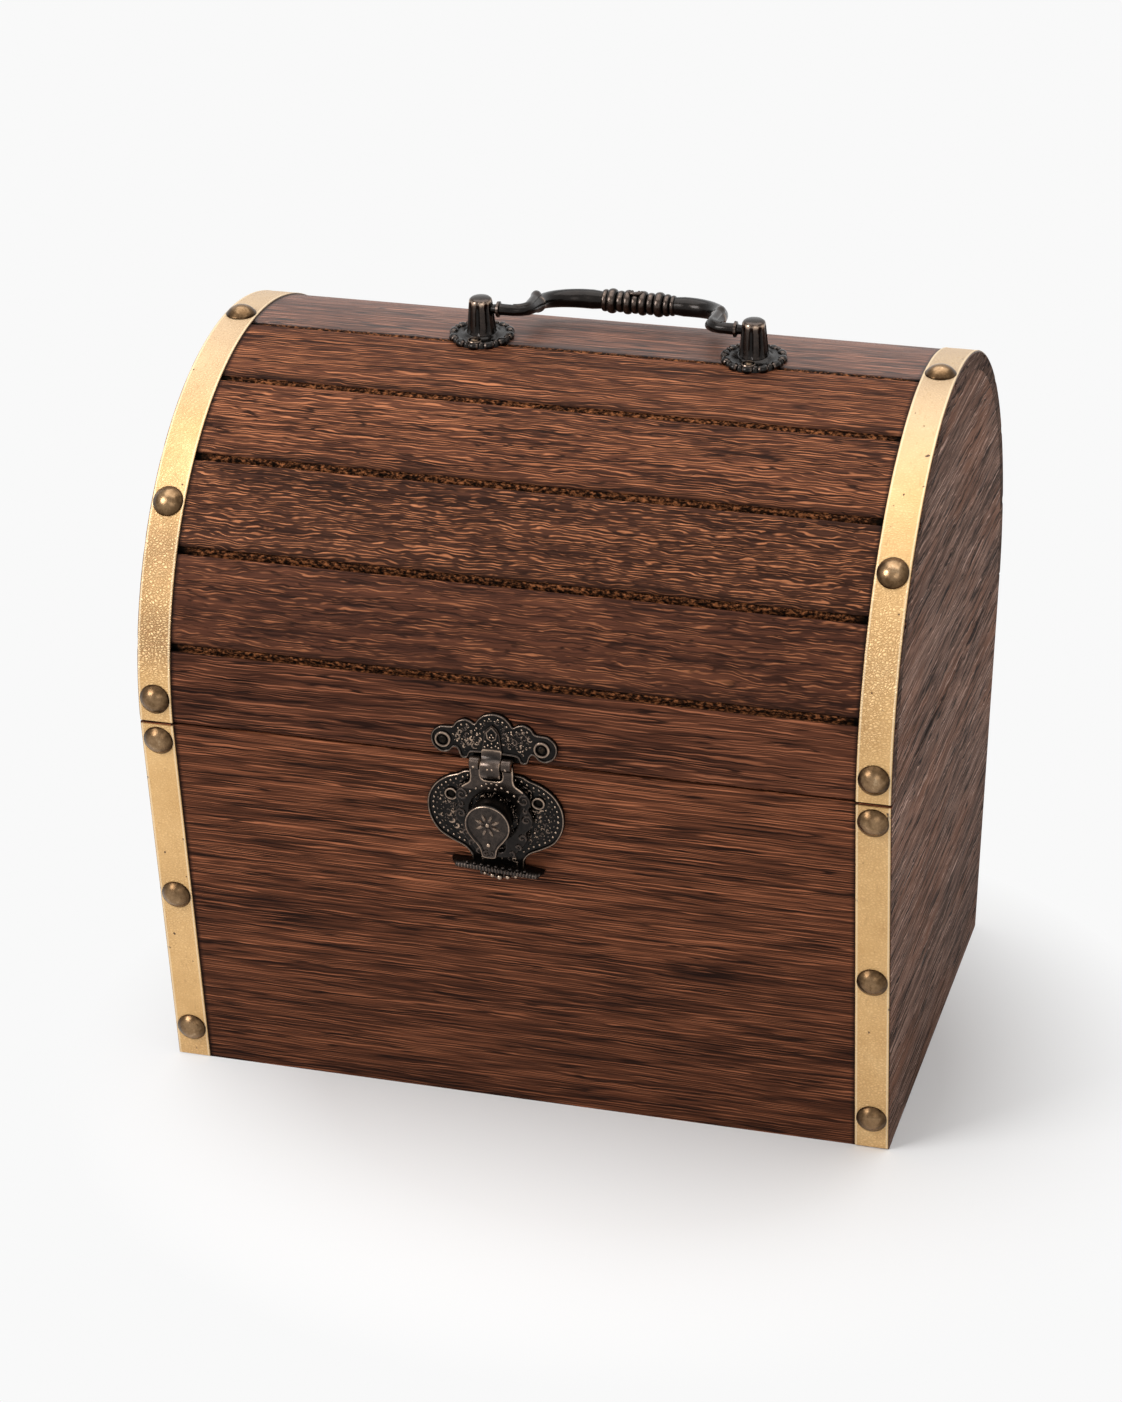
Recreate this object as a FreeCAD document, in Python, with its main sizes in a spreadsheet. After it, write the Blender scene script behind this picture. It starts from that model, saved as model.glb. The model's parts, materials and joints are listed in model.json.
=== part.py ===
"""A dome-lidded wooden money box, as a parametric document in millimetres.

The frame has its origin on the floor under the middle of the box.  +X is to the right of
someone facing the front, the front faces -Y, and +Z is up.  The box stands closed.
"""
import FreeCAD, Part
import os
import re
import Sketcher
from FreeCAD import Placement, Rotation, Vector

doc = FreeCAD.newDocument("money_box")

# Driving dimensions, in millimetres, or in degrees where the name ends in angle.
DRIVING_SIZES = {
    # Wooden box: flared front and back boards, upright end boards.
    "box_width": 260.0,
    "base_depth": 172.5,
    "base_height": 139.0,
    "wall_thickness": 6.0,
    "end_thickness": 9.0,
    "bottom_thickness": 6.0,
    # Lid: staves round one arc, whose axis lies a little above the lid line.
    "lid_radius": 105.5,
    "lid_axis_rise": 9.7,
    "lid_gap": 0.4,
    "stave_thickness": 6.0,
    "first_groove_angle": 10.6,
    "stave_angle": 18.1,
    "groove_width": 2.6,
    "groove_depth": 2.6,
    # Straps along the four upright corners and over both ends of the lid.
    "strap_width": 11.8,
    "strap_thickness": 0.6,
    "strap_inset": 0.2,
    "strap_trim": 0.5,
    # Round-headed tacks through the straps.
    "tack_head": 10.6,
    "tack_rise": 3.2,
    "tack_shank": 1.8,
    "tack_length": 5.5,
    "tack_low": 12.6,
    "tack_middle": 70.0,
    "tack_high": 6.6,
    "lid_tack_low": 8.9,
    "lid_tack_angle": 36.7,
    "crown_angle": 5.0,
    "hole_clearance": 0.1,
    # Small wood screws in the latch, the hinges and the handle.
    "screw_head": 3.8,
    "screw_rise": 0.9,
    "screw_shank": 2.0,
    "screw_length": 5.6,
    # Lower plate of the latch, hung below the lid line.
    "latch_shift": -4.5,
    "plate_thickness": 1.6,
    "plate_top": 4.0,
    "lobe_radius": 14.0,
    "lobe_spread": 10.0,
    "lobe_drop": 19.0,
    "neck_width": 18.6,
    "foot_drop": 42.6,
    "foot_width": 32.0,
    "foot_height": 3.4,
    "foot_thickness": 5.3,
    "plate_screw_spread": 15.2,
    "plate_screw_drop": 13.8,
    # Turning knob on the lower plate.
    "knob_drop": 18.6,
    "knob_radius": 7.9,
    "knob_thickness": 2.4,
    "barrel_radius": 7.2,
    "barrel_length": 4.9,
    "tail_length": 13.0,
    "tail_width": 5.4,
    "knob_neck": 4.8,
    "knob_journal": 3.8,
    "rivet_head": 6.8,
    "rivet_thickness": 1.0,
    "pocket_clearance": 0.6,
    # Hasp and the pin it swings on.
    "hasp_thickness": 1.6,
    "hasp_ring": 4.1,
    "eye_clearance": 0.7,
    "latch_clearance": 0.4,
    "latch_pin": 2.2,
    "latch_knuckle": 4.6,
    "pin_rise": 0.8,
    "pin_standoff": 3.0,
    "tongue_width": 6.8,
    "tongue_length": 6.0,
    "arm_width": 3.6,
    "side_play": 0.3,
    "running_clearance": 0.05,
    # Upper plate of the latch, on the front rail of the lid.
    "lid_plate_thickness": 1.6,
    "wing_spread": 17.1,
    "wing_rise": 6.9,
    "wing_radius": 4.8,
    "shoulder_spread": 9.5,
    "shoulder_rise": 9.8,
    "shoulder_radius": 5.5,
    "peak_rise": 11.6,
    "peak_radius": 6.5,
    "plate_let_in": 0.6,
    # Two stop hinges on the back.
    "hinge_spread": 70.0,
    "leaf_width": 24.0,
    "leaf_height": 15.0,
    "leaf_thickness": 1.0,
    "hinge_knuckle": 4.4,
    "hinge_pin": 2.4,
    "hinge_standoff": 2.5,
    "lid_open_angle": 105.0,
    "stop_length": 7.0,
    "stop_thickness": 0.8,
    "hinge_screw_spread": 7.6,
    # Swing handle on the crown of the lid.
    "handle_shift": 12.0,
    "handle_length": 96.0,
    "rosette_radius": 11.6,
    "rosette_thickness": 2.4,
    "rosette_screw_spread": 8.4,
    "post_foot_radius": 5.0,
    "post_top_radius": 3.9,
    "post_height": 14.5,
    "pivot_height": 10.4,
    "bail_pin": 3.2,
    "bail_pin_depth": 3.0,
    "bail_rod": 4.8,
    "bail_reach": 31.0,
    "bail_leg_inset": 16.0,
    "bail_elbow": 5.0,
    "bail_shoulder": 14.0,
    "bail_rest_angle": 7.0,
    "bead_rise": 1.5,
    "bead_pitch": 3.1,
}
STAVES_IN_FRONT = 4
STAVES_BEHIND = 3
BEADS = 8

sheet = doc.addObject("Spreadsheet::Sheet", "Sizes")
for row, (alias, number) in enumerate(DRIVING_SIZES.items(), start=1):
    sheet.set(f"A{row}", alias)
    sheet.set(f"B{row}", str(number))
    sheet.setAlias(f"B{row}", alias)
doc.recompute()

# Formulas that several pieces share.
RIM = "sqrt(lid_radius ^ 2 - lid_axis_rise ^ 2)"
LEAN = f"(atan(({RIM} - base_depth / 2) / base_height) / 1 deg)"
WALL_RUN = f"sqrt(({RIM} - base_depth / 2) ^ 2 + base_height ^ 2)"
AXIS_HEIGHT = "(base_height + lid_axis_rise)"
LID_EDGE = "(asin((lid_axis_rise - lid_gap) / lid_radius) / 1 deg)"
LID_START = f"(360 - {LID_EDGE})"
DEGREES_PER_MM = "(180 / pi / lid_radius)"
STRAP_LEFT = "(strap_inset - box_width / 2)"
STRAP_MIDDLE = f"({STRAP_LEFT} + strap_width / 2)"

# Ways a piece can point: out of the front wall, along the box, and round the lid's arc.
OUTWARD = Rotation(Vector(1, 0, 0), 90)
SIDEWAYS = Rotation(Vector(0, 1, 0), 90)
FACING_FRONT = Rotation(Vector(0, 0, 1), -90)
FACING_UP = Rotation(Vector(0, 1, 0), -90)
ROUND_THE_LID = Rotation(Vector(0, -1, 0), Vector(0, 0, 1), Vector(-1, 0, 0), "XYZ")
TIPPED = Rotation(Vector(1, 0, 0), 1)

sub_parts = []


def formula(text):
    """Point every size named in a formula at its cell in the sheet."""
    return re.sub(r"\b([a-z]+(?:_[a-z]+)+)\b", r"Sizes.\1", str(text))


def value(text):
    """Work a formula out as a number."""
    return float(sheet.evalExpression(formula(text)))


def bind(thing, **formulas):
    """Tie properties to formulas of the sheet's sizes."""
    for name, text in formulas.items():
        thing.setExpression(name, formula(text))
    return thing


def place(thing, x=0, y=0, z=0, turned=None, angle=None):
    """Put a thing at a point, turned by a fixed rotation or by a formula about that axis."""
    thing.Placement = Placement(Vector(), turned or Rotation())
    for axis, text in zip("xyz", (x, y, z)):
        thing.setExpression(f"Placement.Base.{axis}", formula(text))
    if angle is not None:
        thing.setExpression("Placement.Rotation.Angle", formula(angle))
    return thing


def block(name, x, y, z, length, width, height):
    """A rectangular block with its lowest corner at x, y, z."""
    piece = doc.addObject("Part::Box", name)
    return place(bind(piece, Length=length, Width=width, Height=height), x, y, z)


def rod(name, radius, length, x=0, y=0, z=0, turned=None, angle=None):
    """A round bar that starts at a point and runs along its turned Z."""
    piece = doc.addObject("Part::Cylinder", name)
    return place(bind(piece, Radius=radius, Height=length), x, y, z, turned, angle)


def wedge(name, radius, start, sweep, length, z=0):
    """A wedge of a round bar about Z, from a start angle through a sweep."""
    piece = doc.addObject("Part::Cylinder", name)
    bind(piece, Radius=radius, Height=length, Angle=sweep)
    return place(piece, z=z, angle=start)


def fuse(name, *pieces):
    """Several pieces joined into one."""
    joined = doc.addObject("Part::MultiFuse", name)
    joined.Shapes = list(pieces)
    return joined


def cut(name, piece, *tools):
    """A piece with one or more tools taken out of it."""
    result = doc.addObject("Part::Cut", name)
    result.Base = piece
    result.Tool = tools[0] if len(tools) == 1 else fuse(f"{name}_tools", *tools)
    return result


def mirrored(name, source, normal):
    """The mirror image of a piece across a plane through the origin."""
    image = doc.addObject("Part::Mirroring", name)
    image.Source = source
    image.Normal = normal
    return image


def on_front_wall(thing, x=0):
    """Seat a thing whose X, -Y and Z run along, out of and up the sloping front wall."""
    return place(thing, x, f"-{RIM}", "base_height", TIPPED, LEAN)


def round_the_lid(thing):
    """Seat a thing that was drawn about Z, from the front, round the lid's arc."""
    return place(thing, "box_width / 2", 0, AXIS_HEIGHT, ROUND_THE_LID)


def on_crown(thing, x, rise=0):
    """Seat a thing on the crown line, upright from the lid's arc."""
    radius = f"(lid_radius + {rise})"
    height = f"{AXIS_HEIGHT} + {radius} * cos(crown_angle)"
    return place(thing, x, f"-{radius} * sin(crown_angle)", height, TIPPED, "crown_angle")


def keep(thing, label):
    """Name a finished sub-part and list it for writing."""
    thing.Label = label
    sub_parts.append(thing)
    return thing


def board(name, plane, corners, thickness):
    """A body padded both ways from an outline whose corners are formulas."""
    body = doc.addObject("PartDesign::Body", name)
    support = next(feature for feature in body.Origin.OriginFeatures if feature.Role == plane)
    sketch = body.newObject("Sketcher::SketchObject", f"{name}_outline")
    sketch.AttachmentSupport = (support, [""])
    sketch.MapMode = "FlatFace"
    points = [Vector(value(across), value(up), 0) for across, up in corners]
    for index, point in enumerate(points):
        following = points[(index + 1) % len(points)]
        sketch.addGeometry(Part.LineSegment(point, following), False)
    for index, point in enumerate(points):
        joined_to = (index + 1) % len(points)
        sketch.addConstraint(Sketcher.Constraint("Coincident", index, 2, joined_to, 1))
        for axis, text in zip("XY", corners[index]):
            distance = getattr(point, axis.lower())
            rule = Sketcher.Constraint(f"Distance{axis}", -1, 1, index, 1, distance)
            number = sketch.addConstraint(rule)
            sketch.setExpression(f"Constraints[{number}]", formula(text))
    pad = body.newObject("PartDesign::Pad", f"{name}_pad")
    pad.Profile = sketch
    pad.SideType = "Symmetric"
    bind(pad, Length=thickness)
    return body


def fastener(name, head, rise, shank, length):
    """A domed head on the plane X = 0 with its shank going in along -X."""
    dome_radius = f"((({head}) ^ 2 / 4 + ({rise}) ^ 2) / 2 / ({rise}))"
    ball = doc.addObject("Part::Sphere", f"{name}_ball")
    place(bind(ball, Radius=dome_radius), x=f"{rise} - {dome_radius}")
    outside = block(f"{name}_outside", 0, f"-{head}", f"-{head}", rise, f"2 * {head}", f"2 * {head}")
    dome = doc.addObject("Part::Common", f"{name}_dome")
    dome.Base = ball
    dome.Tool = outside
    stem = rod(f"{name}_stem", f"{shank} / 2", length, x=f"-{length}", turned=SIDEWAYS)
    return fuse(name, dome, stem)


def set_of(label, pattern, spots):
    """Copies of one fastener as separate solids, each spot a point with its turn."""
    copies = []
    for index, (x, y, z, turned, angle) in enumerate(spots):
        copy = doc.addObject("App::Link", f"{label}_{index}")
        copy.LinkedObject = pattern
        copies.append(place(copy, x, y, z, turned, angle))
    group = doc.addObject("Part::Compound", label)
    group.Links = copies
    return keep(group, label)


def facing_front(x, y, z):
    """A fastener's spot on something that faces the front."""
    return (x, y, z, FACING_FRONT, None)


def facing_out(radius, angle, z):
    """A fastener's spot on the lid's arc, at an angle up from the front."""
    return (f"({radius}) * cos({angle})", f"({radius}) * sin({angle})", z, None, angle)


tack = fastener("tack", "tack_head", "tack_rise", "tack_shank", "tack_length")
screw = fastener("screw", "screw_head", "screw_rise", "screw_shank", "screw_length")
SCREW_HOLE = "(screw_shank / 2 + hole_clearance)"
TACK_HOLE = "(tack_shank / 2 + hole_clearance)"


# Base: a bottom panel between four boards.
inner_floor = "(base_depth / 2 - wall_thickness)"
slope = f"(({RIM} - base_depth / 2) / base_height)"
inner_top = f"({inner_floor} + {slope} * bottom_thickness)"
bottom_corners = [
    (f"-{inner_floor}", "0"),
    (inner_floor, "0"),
    (inner_top, "bottom_thickness"),
    (f"-{inner_top}", "bottom_thickness"),
]
clear_width = "(box_width - 2 * end_thickness)"
keep(board("bottom_panel", "YZ_Plane", bottom_corners, clear_width), "bottom_panel")

wall_corners = [
    ("-base_depth / 2", "0"),
    (f"-{inner_floor}", "0"),
    (f"wall_thickness - {RIM}", "base_height"),
    (f"-{RIM}", "base_height"),
]
front_board = board("front_board", "YZ_Plane", wall_corners, "box_width")
knob_pocket = rod(
    "knob_pocket",
    "rivet_head / 2 + pocket_clearance",
    "rivet_thickness + 2 * pocket_clearance",
    "latch_shift",
    f"knob_drop * sin({LEAN}) - {RIM}",
    f"base_height - knob_drop * cos({LEAN})",
    TIPPED,
    f"{LEAN} - 90",
)
keep(cut("front_wall", front_board, knob_pocket), "front_wall")
keep(mirrored("back_wall", front_board, Vector(0, 1, 0)), "back_wall")

end_corners = [
    (f"-{inner_floor}", "0"),
    (inner_floor, "0"),
    (f"{RIM} - wall_thickness", "base_height"),
    (f"wall_thickness - {RIM}", "base_height"),
]
for side, sign in (("left", "-"), ("right", "")):
    end = board(f"{side}_end_wall", "YZ_Plane", end_corners, "end_thickness")
    keep(place(end, x=f"{sign}(box_width - end_thickness) / 2"), f"{side}_end_wall")


# Lid: two round-topped ends and the staves that run over them.
for side, low_x in (("left", "-box_width / 2"), ("right", "box_width / 2 - end_thickness")):
    disc = rod(
        f"lid_{side}_disc",
        "lid_radius - stave_thickness",
        "end_thickness",
        low_x,
        0,
        AXIS_HEIGHT,
        SIDEWAYS,
    )
    above = block(
        f"lid_{side}_above",
        low_x,
        "-lid_radius",
        "base_height + lid_gap",
        "end_thickness",
        "2 * lid_radius",
        "2 * lid_radius",
    )
    lid_end = doc.addObject("Part::Common", f"lid_{side}_end")
    lid_end.Base = disc
    lid_end.Tool = above
    keep(lid_end, f"lid_{side}_end")


def stave(label, start, sweep, grooved):
    """One stave between two angles round the lid, with a groove along its far edge."""
    solid = wedge(f"{label}_wedge", "lid_radius", start, sweep, "box_width")
    hollow = rod(f"{label}_hollow", "lid_radius - stave_thickness", "box_width")
    tools = [hollow]
    if grooved:
        groove_sweep = f"(groove_width * {DEGREES_PER_MM})"
        groove_start = f"{start} + {sweep} - {groove_sweep}"
        ring = wedge(f"{label}_ring", "lid_radius + 1", groove_start, groove_sweep, "box_width")
        core = rod(f"{label}_core", "lid_radius - groove_depth", "box_width")
        tools.append(cut(f"{label}_groove", ring, core))
    keep(round_the_lid(cut(label, solid, *tools)), label)


rail_sweep = f"(first_groove_angle + {LID_EDGE})"
stave("lid_front_rail", LID_START, rail_sweep, True)
for index in range(STAVES_IN_FRONT):
    stave(f"lid_stave_{index + 1}", f"(first_groove_angle + {index} * stave_angle)", "stave_angle", True)
crown_start = f"(first_groove_angle + {STAVES_IN_FRONT} * stave_angle)"
behind_start = f"(180 - first_groove_angle - {STAVES_BEHIND} * stave_angle)"
stave("lid_crown_board", crown_start, f"({behind_start} - {crown_start})", True)
for index in range(STAVES_BEHIND):
    label = f"lid_stave_{STAVES_IN_FRONT + index + 1}"
    stave(label, f"({behind_start} + {index} * stave_angle)", "stave_angle", True)
stave("lid_back_rail", "(180 - first_groove_angle)", rail_sweep, False)


# Straps and their tacks: up the four corners, and over both ends of the lid.
corner_strap = block(
    "corner_strap_blank",
    STRAP_LEFT,
    "-strap_thickness",
    f"strap_trim - {WALL_RUN}",
    "strap_width",
    "strap_thickness",
    f"{WALL_RUN} - 2 * strap_trim",
)
corner_tack_heights = (f"tack_low - {WALL_RUN}", f"tack_middle - {WALL_RUN}", "-tack_high")
strap_holes = []
for index, height in enumerate(corner_tack_heights):
    hole = rod(f"strap_hole_{index}", TACK_HOLE, "2 * strap_thickness", STRAP_MIDDLE, 0, height, OUTWARD)
    strap_holes.append(hole)
front_left_strap = on_front_wall(cut("front_left_strap", corner_strap, *strap_holes))
keep(front_left_strap, "front_left_strap")
keep(mirrored("front_right_strap", front_left_strap, Vector(1, 0, 0)), "front_right_strap")
back_left_strap = mirrored("back_left_strap", front_left_strap, Vector(0, 1, 0))
keep(back_left_strap, "back_left_strap")
keep(mirrored("back_right_strap", back_left_strap, Vector(1, 0, 0)), "back_right_strap")

corner_spots = [facing_front(STRAP_MIDDLE, "-strap_thickness", height) for height in corner_tack_heights]
front_left_tacks = on_front_wall(set_of("front_left_tacks", tack, corner_spots))
keep(mirrored("front_right_tacks", front_left_tacks, Vector(1, 0, 0)), "front_right_tacks")
back_left_tacks = mirrored("back_left_tacks", front_left_tacks, Vector(0, 1, 0))
keep(back_left_tacks, "back_left_tacks")
keep(mirrored("back_right_tacks", back_left_tacks, Vector(1, 0, 0)), "back_right_tacks")

strap_reach = "(box_width - strap_inset - strap_width)"
strap_edge = f"({LID_EDGE} - strap_trim * {DEGREES_PER_MM})"
strap_band = wedge(
    "lid_strap_band",
    "lid_radius + strap_thickness",
    f"360 - {strap_edge}",
    f"180 + 2 * {strap_edge}",
    "strap_width",
    strap_reach,
)
strap_core = rod("lid_strap_core", "lid_radius", "box_width")
low_tack_angle = f"(lid_tack_low * {DEGREES_PER_MM} - {LID_EDGE})"
lid_tack_angles = (
    f"(360 + {low_tack_angle})",
    "lid_tack_angle",
    "(90 - crown_angle)",
    "(180 - lid_tack_angle)",
    f"(180 - {low_tack_angle})",
)
lid_strap_middle = f"({strap_reach} + strap_width / 2)"
lid_strap_curved = round_the_lid(cut("lid_strap_curved", strap_band, strap_core))
strap_underside = "(lid_radius - strap_thickness)"
lid_holes = []
for index, angle in enumerate(lid_tack_angles):
    hole = rod(
        f"lid_hole_{index}",
        TACK_HOLE,
        "3 * strap_thickness",
        STRAP_MIDDLE,
        f"-{strap_underside} * cos({angle})",
        f"{AXIS_HEIGHT} + {strap_underside} * sin({angle})",
        TIPPED,
        f"450 - {angle}",
    )
    lid_holes.append(hole)
lid_left_strap = cut("lid_left_strap", lid_strap_curved, *lid_holes)
keep(lid_left_strap, "lid_left_strap")
keep(mirrored("lid_right_strap", lid_left_strap, Vector(1, 0, 0)), "lid_right_strap")
lid_spots = []
for angle in lid_tack_angles:
    lid_spots.append(facing_out("lid_radius + strap_thickness", angle, lid_strap_middle))
lid_left_tacks = round_the_lid(set_of("lid_left_tacks", tack, lid_spots))
keep(mirrored("lid_right_tacks", lid_left_tacks, Vector(1, 0, 0)), "lid_right_tacks")


# Latch: lower plate and knob on the base, upper plate, pin and hasp on the lid.
def plate_disc(name, radius, x, z, thickness, start=0):
    """A flat disc that stands out of a plate, its back at a start distance."""
    return rod(name, radius, thickness, x, f"-({start})", z, OUTWARD)


lower_pieces = [
    block(
        "latch_plate_middle",
        "-lobe_spread",
        "-plate_thickness",
        "-lobe_drop - lobe_radius",
        "2 * lobe_spread",
        "plate_thickness",
        "lobe_drop + lobe_radius - plate_top",
    ),
    block(
        "latch_plate_neck",
        "-neck_width / 2",
        "-plate_thickness",
        "-foot_drop",
        "neck_width",
        "plate_thickness",
        "foot_drop - lobe_drop",
    ),
    block(
        "latch_plate_foot",
        "-foot_width / 2",
        "-foot_thickness",
        "-foot_drop",
        "foot_width",
        "foot_thickness",
        "foot_height",
    ),
]
lower_holes = [plate_disc("knob_bore", "knob_journal / 2 + running_clearance", 0, "-knob_drop", "foot_thickness")]
for side, sign in (("left", "-"), ("right", "")):
    lobe = plate_disc(f"latch_plate_{side}_lobe", "lobe_radius", f"{sign}lobe_spread", "-lobe_drop", "plate_thickness")
    lower_pieces.append(lobe)
    hole = plate_disc(f"latch_plate_{side}_hole", SCREW_HOLE, f"{sign}plate_screw_spread", "-plate_screw_drop", "foot_thickness")
    lower_holes.append(hole)
latch_plate = cut("latch_plate", fuse("latch_plate_blank", *lower_pieces), *lower_holes)
keep(on_front_wall(latch_plate, "latch_shift"), "latch_plate")
plate_screw_spots = [
    facing_front(f"{sign}plate_screw_spread", "-plate_thickness", "-plate_screw_drop") for sign in ("-", "")
]
on_front_wall(set_of("latch_plate_screws", screw, plate_screw_spots), "latch_shift")

hasp_back = "(plate_thickness + latch_clearance)"
hasp_front = f"({hasp_back} + hasp_thickness)"
knob_back = f"({hasp_front} + latch_clearance)"
head_back = f"({knob_back} + barrel_length)"
head_front = f"({head_back} + knob_thickness)"
journal_length = "(plate_thickness + latch_clearance)"
knob = fuse(
    "latch_knob",
    plate_disc("knob_barrel", "barrel_radius", 0, "-knob_drop", "barrel_length + knob_thickness / 2", knob_back),
    plate_disc("knob_disc", "knob_radius", 0, "-knob_drop", "knob_thickness", head_back),
    block(
        "knob_tail",
        "-tail_width / 2",
        f"-{head_back} - knob_thickness * 3 / 4",
        "-knob_drop - tail_length",
        "tail_width",
        "knob_thickness * 3 / 4",
        "tail_length",
    ),
    plate_disc("knob_neck_rod", "knob_neck / 2", 0, "-knob_drop", f"{knob_back} - {journal_length}", journal_length),
    plate_disc("knob_journal_rod", "knob_journal / 2", 0, "-knob_drop", f"{knob_back} + rivet_thickness", "-rivet_thickness"),
    plate_disc(
        "knob_rivet",
        "rivet_head / 2",
        0,
        "-knob_drop",
        "rivet_thickness",
        "-rivet_thickness - running_clearance",
    ),
)
keep(on_front_wall(knob, "latch_shift"), "latch_knob")

# The eye is longer than the knob, because the hasp swings round its pin as it leaves the knob's head.
swing_start = "(knob_drop + pin_rise)"
swing_room = f"(sqrt({swing_start} ^ 2 + ({head_front} - pin_standoff) ^ 2) - {swing_start})"
eye_radius = "(knob_radius + eye_clearance)"
hasp_radius = f"({eye_radius} + hasp_ring)"
tip_width = "(tail_width + 2 * eye_clearance + 2 * hasp_ring)"
tip_length = f"(tail_length + eye_clearance + {swing_room} + hasp_ring / 2)"
hasp_outer = [
    plate_disc("hasp_ring_disc", hasp_radius, 0, f"-knob_drop - {swing_room} / 2", "hasp_thickness", hasp_back),
    block(
        "hasp_tip",
        f"-{tip_width} / 2",
        f"-{hasp_front}",
        f"-knob_drop - {tip_length}",
        tip_width,
        "hasp_thickness",
        tip_length,
    ),
]
arm_start = "(tongue_width / 2 + side_play)"
for side, low_x in (("left", f"-{arm_start} - arm_width"), ("right", arm_start)):
    arm = block(
        f"hasp_{side}_arm",
        low_x,
        f"-{hasp_front}",
        "-knob_drop",
        "arm_width",
        "hasp_thickness",
        "knob_drop + pin_rise",
    )
    knuckle = rod(f"hasp_{side}_knuckle", "latch_knuckle / 2", "arm_width", low_x, "-pin_standoff", "pin_rise", SIDEWAYS)
    hasp_outer.extend((arm, knuckle))
pin_half = f"({arm_start} + arm_width)"
hasp_cuts = [
    plate_disc("hasp_eye_top", eye_radius, 0, "-knob_drop", "2 * hasp_thickness", "plate_thickness"),
    plate_disc("hasp_eye_foot", eye_radius, 0, f"-knob_drop - {swing_room}", "2 * hasp_thickness", "plate_thickness"),
    block(
        "hasp_eye_middle",
        f"-{eye_radius}",
        "-2 * hasp_thickness - plate_thickness",
        f"-knob_drop - {swing_room}",
        f"2 * {eye_radius}",
        "2 * hasp_thickness",
        swing_room,
    ),
    block(
        "hasp_slot",
        "-tail_width / 2 - eye_clearance",
        "-2 * hasp_thickness - plate_thickness",
        f"-knob_drop - tail_length - eye_clearance - {swing_room}",
        "tail_width + 2 * eye_clearance",
        "2 * hasp_thickness",
        "tail_length",
    ),
    rod(
        "hasp_pin_hole",
        "latch_pin / 2 + running_clearance",
        f"2 * {pin_half}",
        f"-{pin_half}",
        "-pin_standoff",
        "pin_rise",
        SIDEWAYS,
    ),
]
hasp = cut("latch_hasp", fuse("latch_hasp_blank", *hasp_outer), *hasp_cuts)
keep(on_front_wall(hasp, "latch_shift"), "latch_hasp")

# The pin lies where the sloping wall's frame puts it, so that the hasp hangs flat on the wall.
pin_out = f"(pin_rise * sin({LEAN}) + pin_standoff * cos({LEAN}) + {RIM})"
pin_height = f"(base_height + pin_rise * cos({LEAN}) - pin_standoff * sin({LEAN}))"
latch_pin = rod(
    "latch_hinge_pin",
    "latch_pin / 2",
    f"2 * {pin_half}",
    f"latch_shift - {pin_half}",
    f"-{pin_out}",
    pin_height,
    SIDEWAYS,
)
keep(latch_pin, "latch_hinge_pin")

plate_back = "(lid_radius - plate_let_in)"
plate_depth = "(lid_plate_thickness + plate_let_in)"
plate_foot = "(base_height + lid_gap)"
arms_clear = f"({pin_height} + latch_knuckle / 2 + latch_clearance)"


def lid_disc(name, radius, x, rise):
    """A disc of the upper plate, at a rise above the lid line."""
    return rod(name, radius, plate_depth, f"latch_shift + {x}", f"-{plate_back}", f"base_height + {rise}", OUTWARD)


upper_pieces = [
    lid_disc("lid_plate_peak", "peak_radius", 0, "peak_rise"),
    block(
        "lid_plate_middle",
        "latch_shift - wing_spread",
        f"-lid_radius - lid_plate_thickness",
        "base_height + wing_rise",
        "2 * wing_spread",
        plate_depth,
        "wing_radius",
    ),
    block(
        "lid_plate_waist",
        "latch_shift - shoulder_spread",
        f"-lid_radius - lid_plate_thickness",
        plate_foot,
        "2 * shoulder_spread",
        plate_depth,
        f"base_height + shoulder_rise - {plate_foot}",
    ),
]
upper_cuts = [
    block(
        "lid_plate_arm_room",
        f"latch_shift - {pin_half} - side_play",
        f"-lid_radius - 2 * {plate_depth}",
        "base_height - lid_radius / 2",
        f"2 * {pin_half} + 2 * side_play",
        f"3 * {plate_depth}",
        f"{arms_clear} + lid_radius / 2 - base_height",
    ),
    rod("lid_plate_seat", "lid_radius", "box_width", "-box_width / 2", 0, AXIS_HEIGHT, SIDEWAYS),
]
for side, sign in (("left", "-"), ("right", "")):
    upper_pieces.append(lid_disc(f"lid_plate_{side}_wing", "wing_radius", f"{sign}wing_spread", "wing_rise"))
    upper_pieces.append(lid_disc(f"lid_plate_{side}_shoulder", "shoulder_radius", f"{sign}shoulder_spread", "shoulder_rise"))
    upper_cuts.append(lid_disc(f"lid_plate_{side}_hole", SCREW_HOLE, f"{sign}wing_spread", "wing_rise"))
upper_plate = cut("latch_upper_plate", fuse("latch_upper_blank", *upper_pieces), *upper_cuts)
tongue = fuse(
    "latch_tongue_blank",
    block(
        "latch_tongue_strap",
        "latch_shift - tongue_width / 2",
        f"-{pin_out} - latch_knuckle / 4",
        pin_height,
        "tongue_width",
        f"{pin_out} + latch_knuckle / 4 - lid_radius - lid_plate_thickness / 2",
        "tongue_length",
    ),
    rod(
        "latch_tongue_knuckle",
        "latch_knuckle / 2",
        "tongue_width",
        "latch_shift - tongue_width / 2",
        f"-{pin_out}",
        pin_height,
        SIDEWAYS,
    ),
)
tongue_bore = rod(
    "latch_tongue_bore",
    "latch_pin / 2",
    "tongue_width",
    "latch_shift - tongue_width / 2",
    f"-{pin_out}",
    pin_height,
    SIDEWAYS,
)
latch_lid_plate = fuse("latch_lid_plate", upper_plate, cut("latch_tongue", tongue, tongue_bore))
keep(latch_lid_plate, "latch_lid_plate")
lid_screw_spots = []
for sign in ("-", ""):
    across = f"latch_shift {sign or '+'} wing_spread"
    lid_screw_spots.append(facing_front(across, "-lid_radius - lid_plate_thickness", "base_height + wing_rise"))
set_of("latch_lid_plate_screws", screw, lid_screw_spots)


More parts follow.
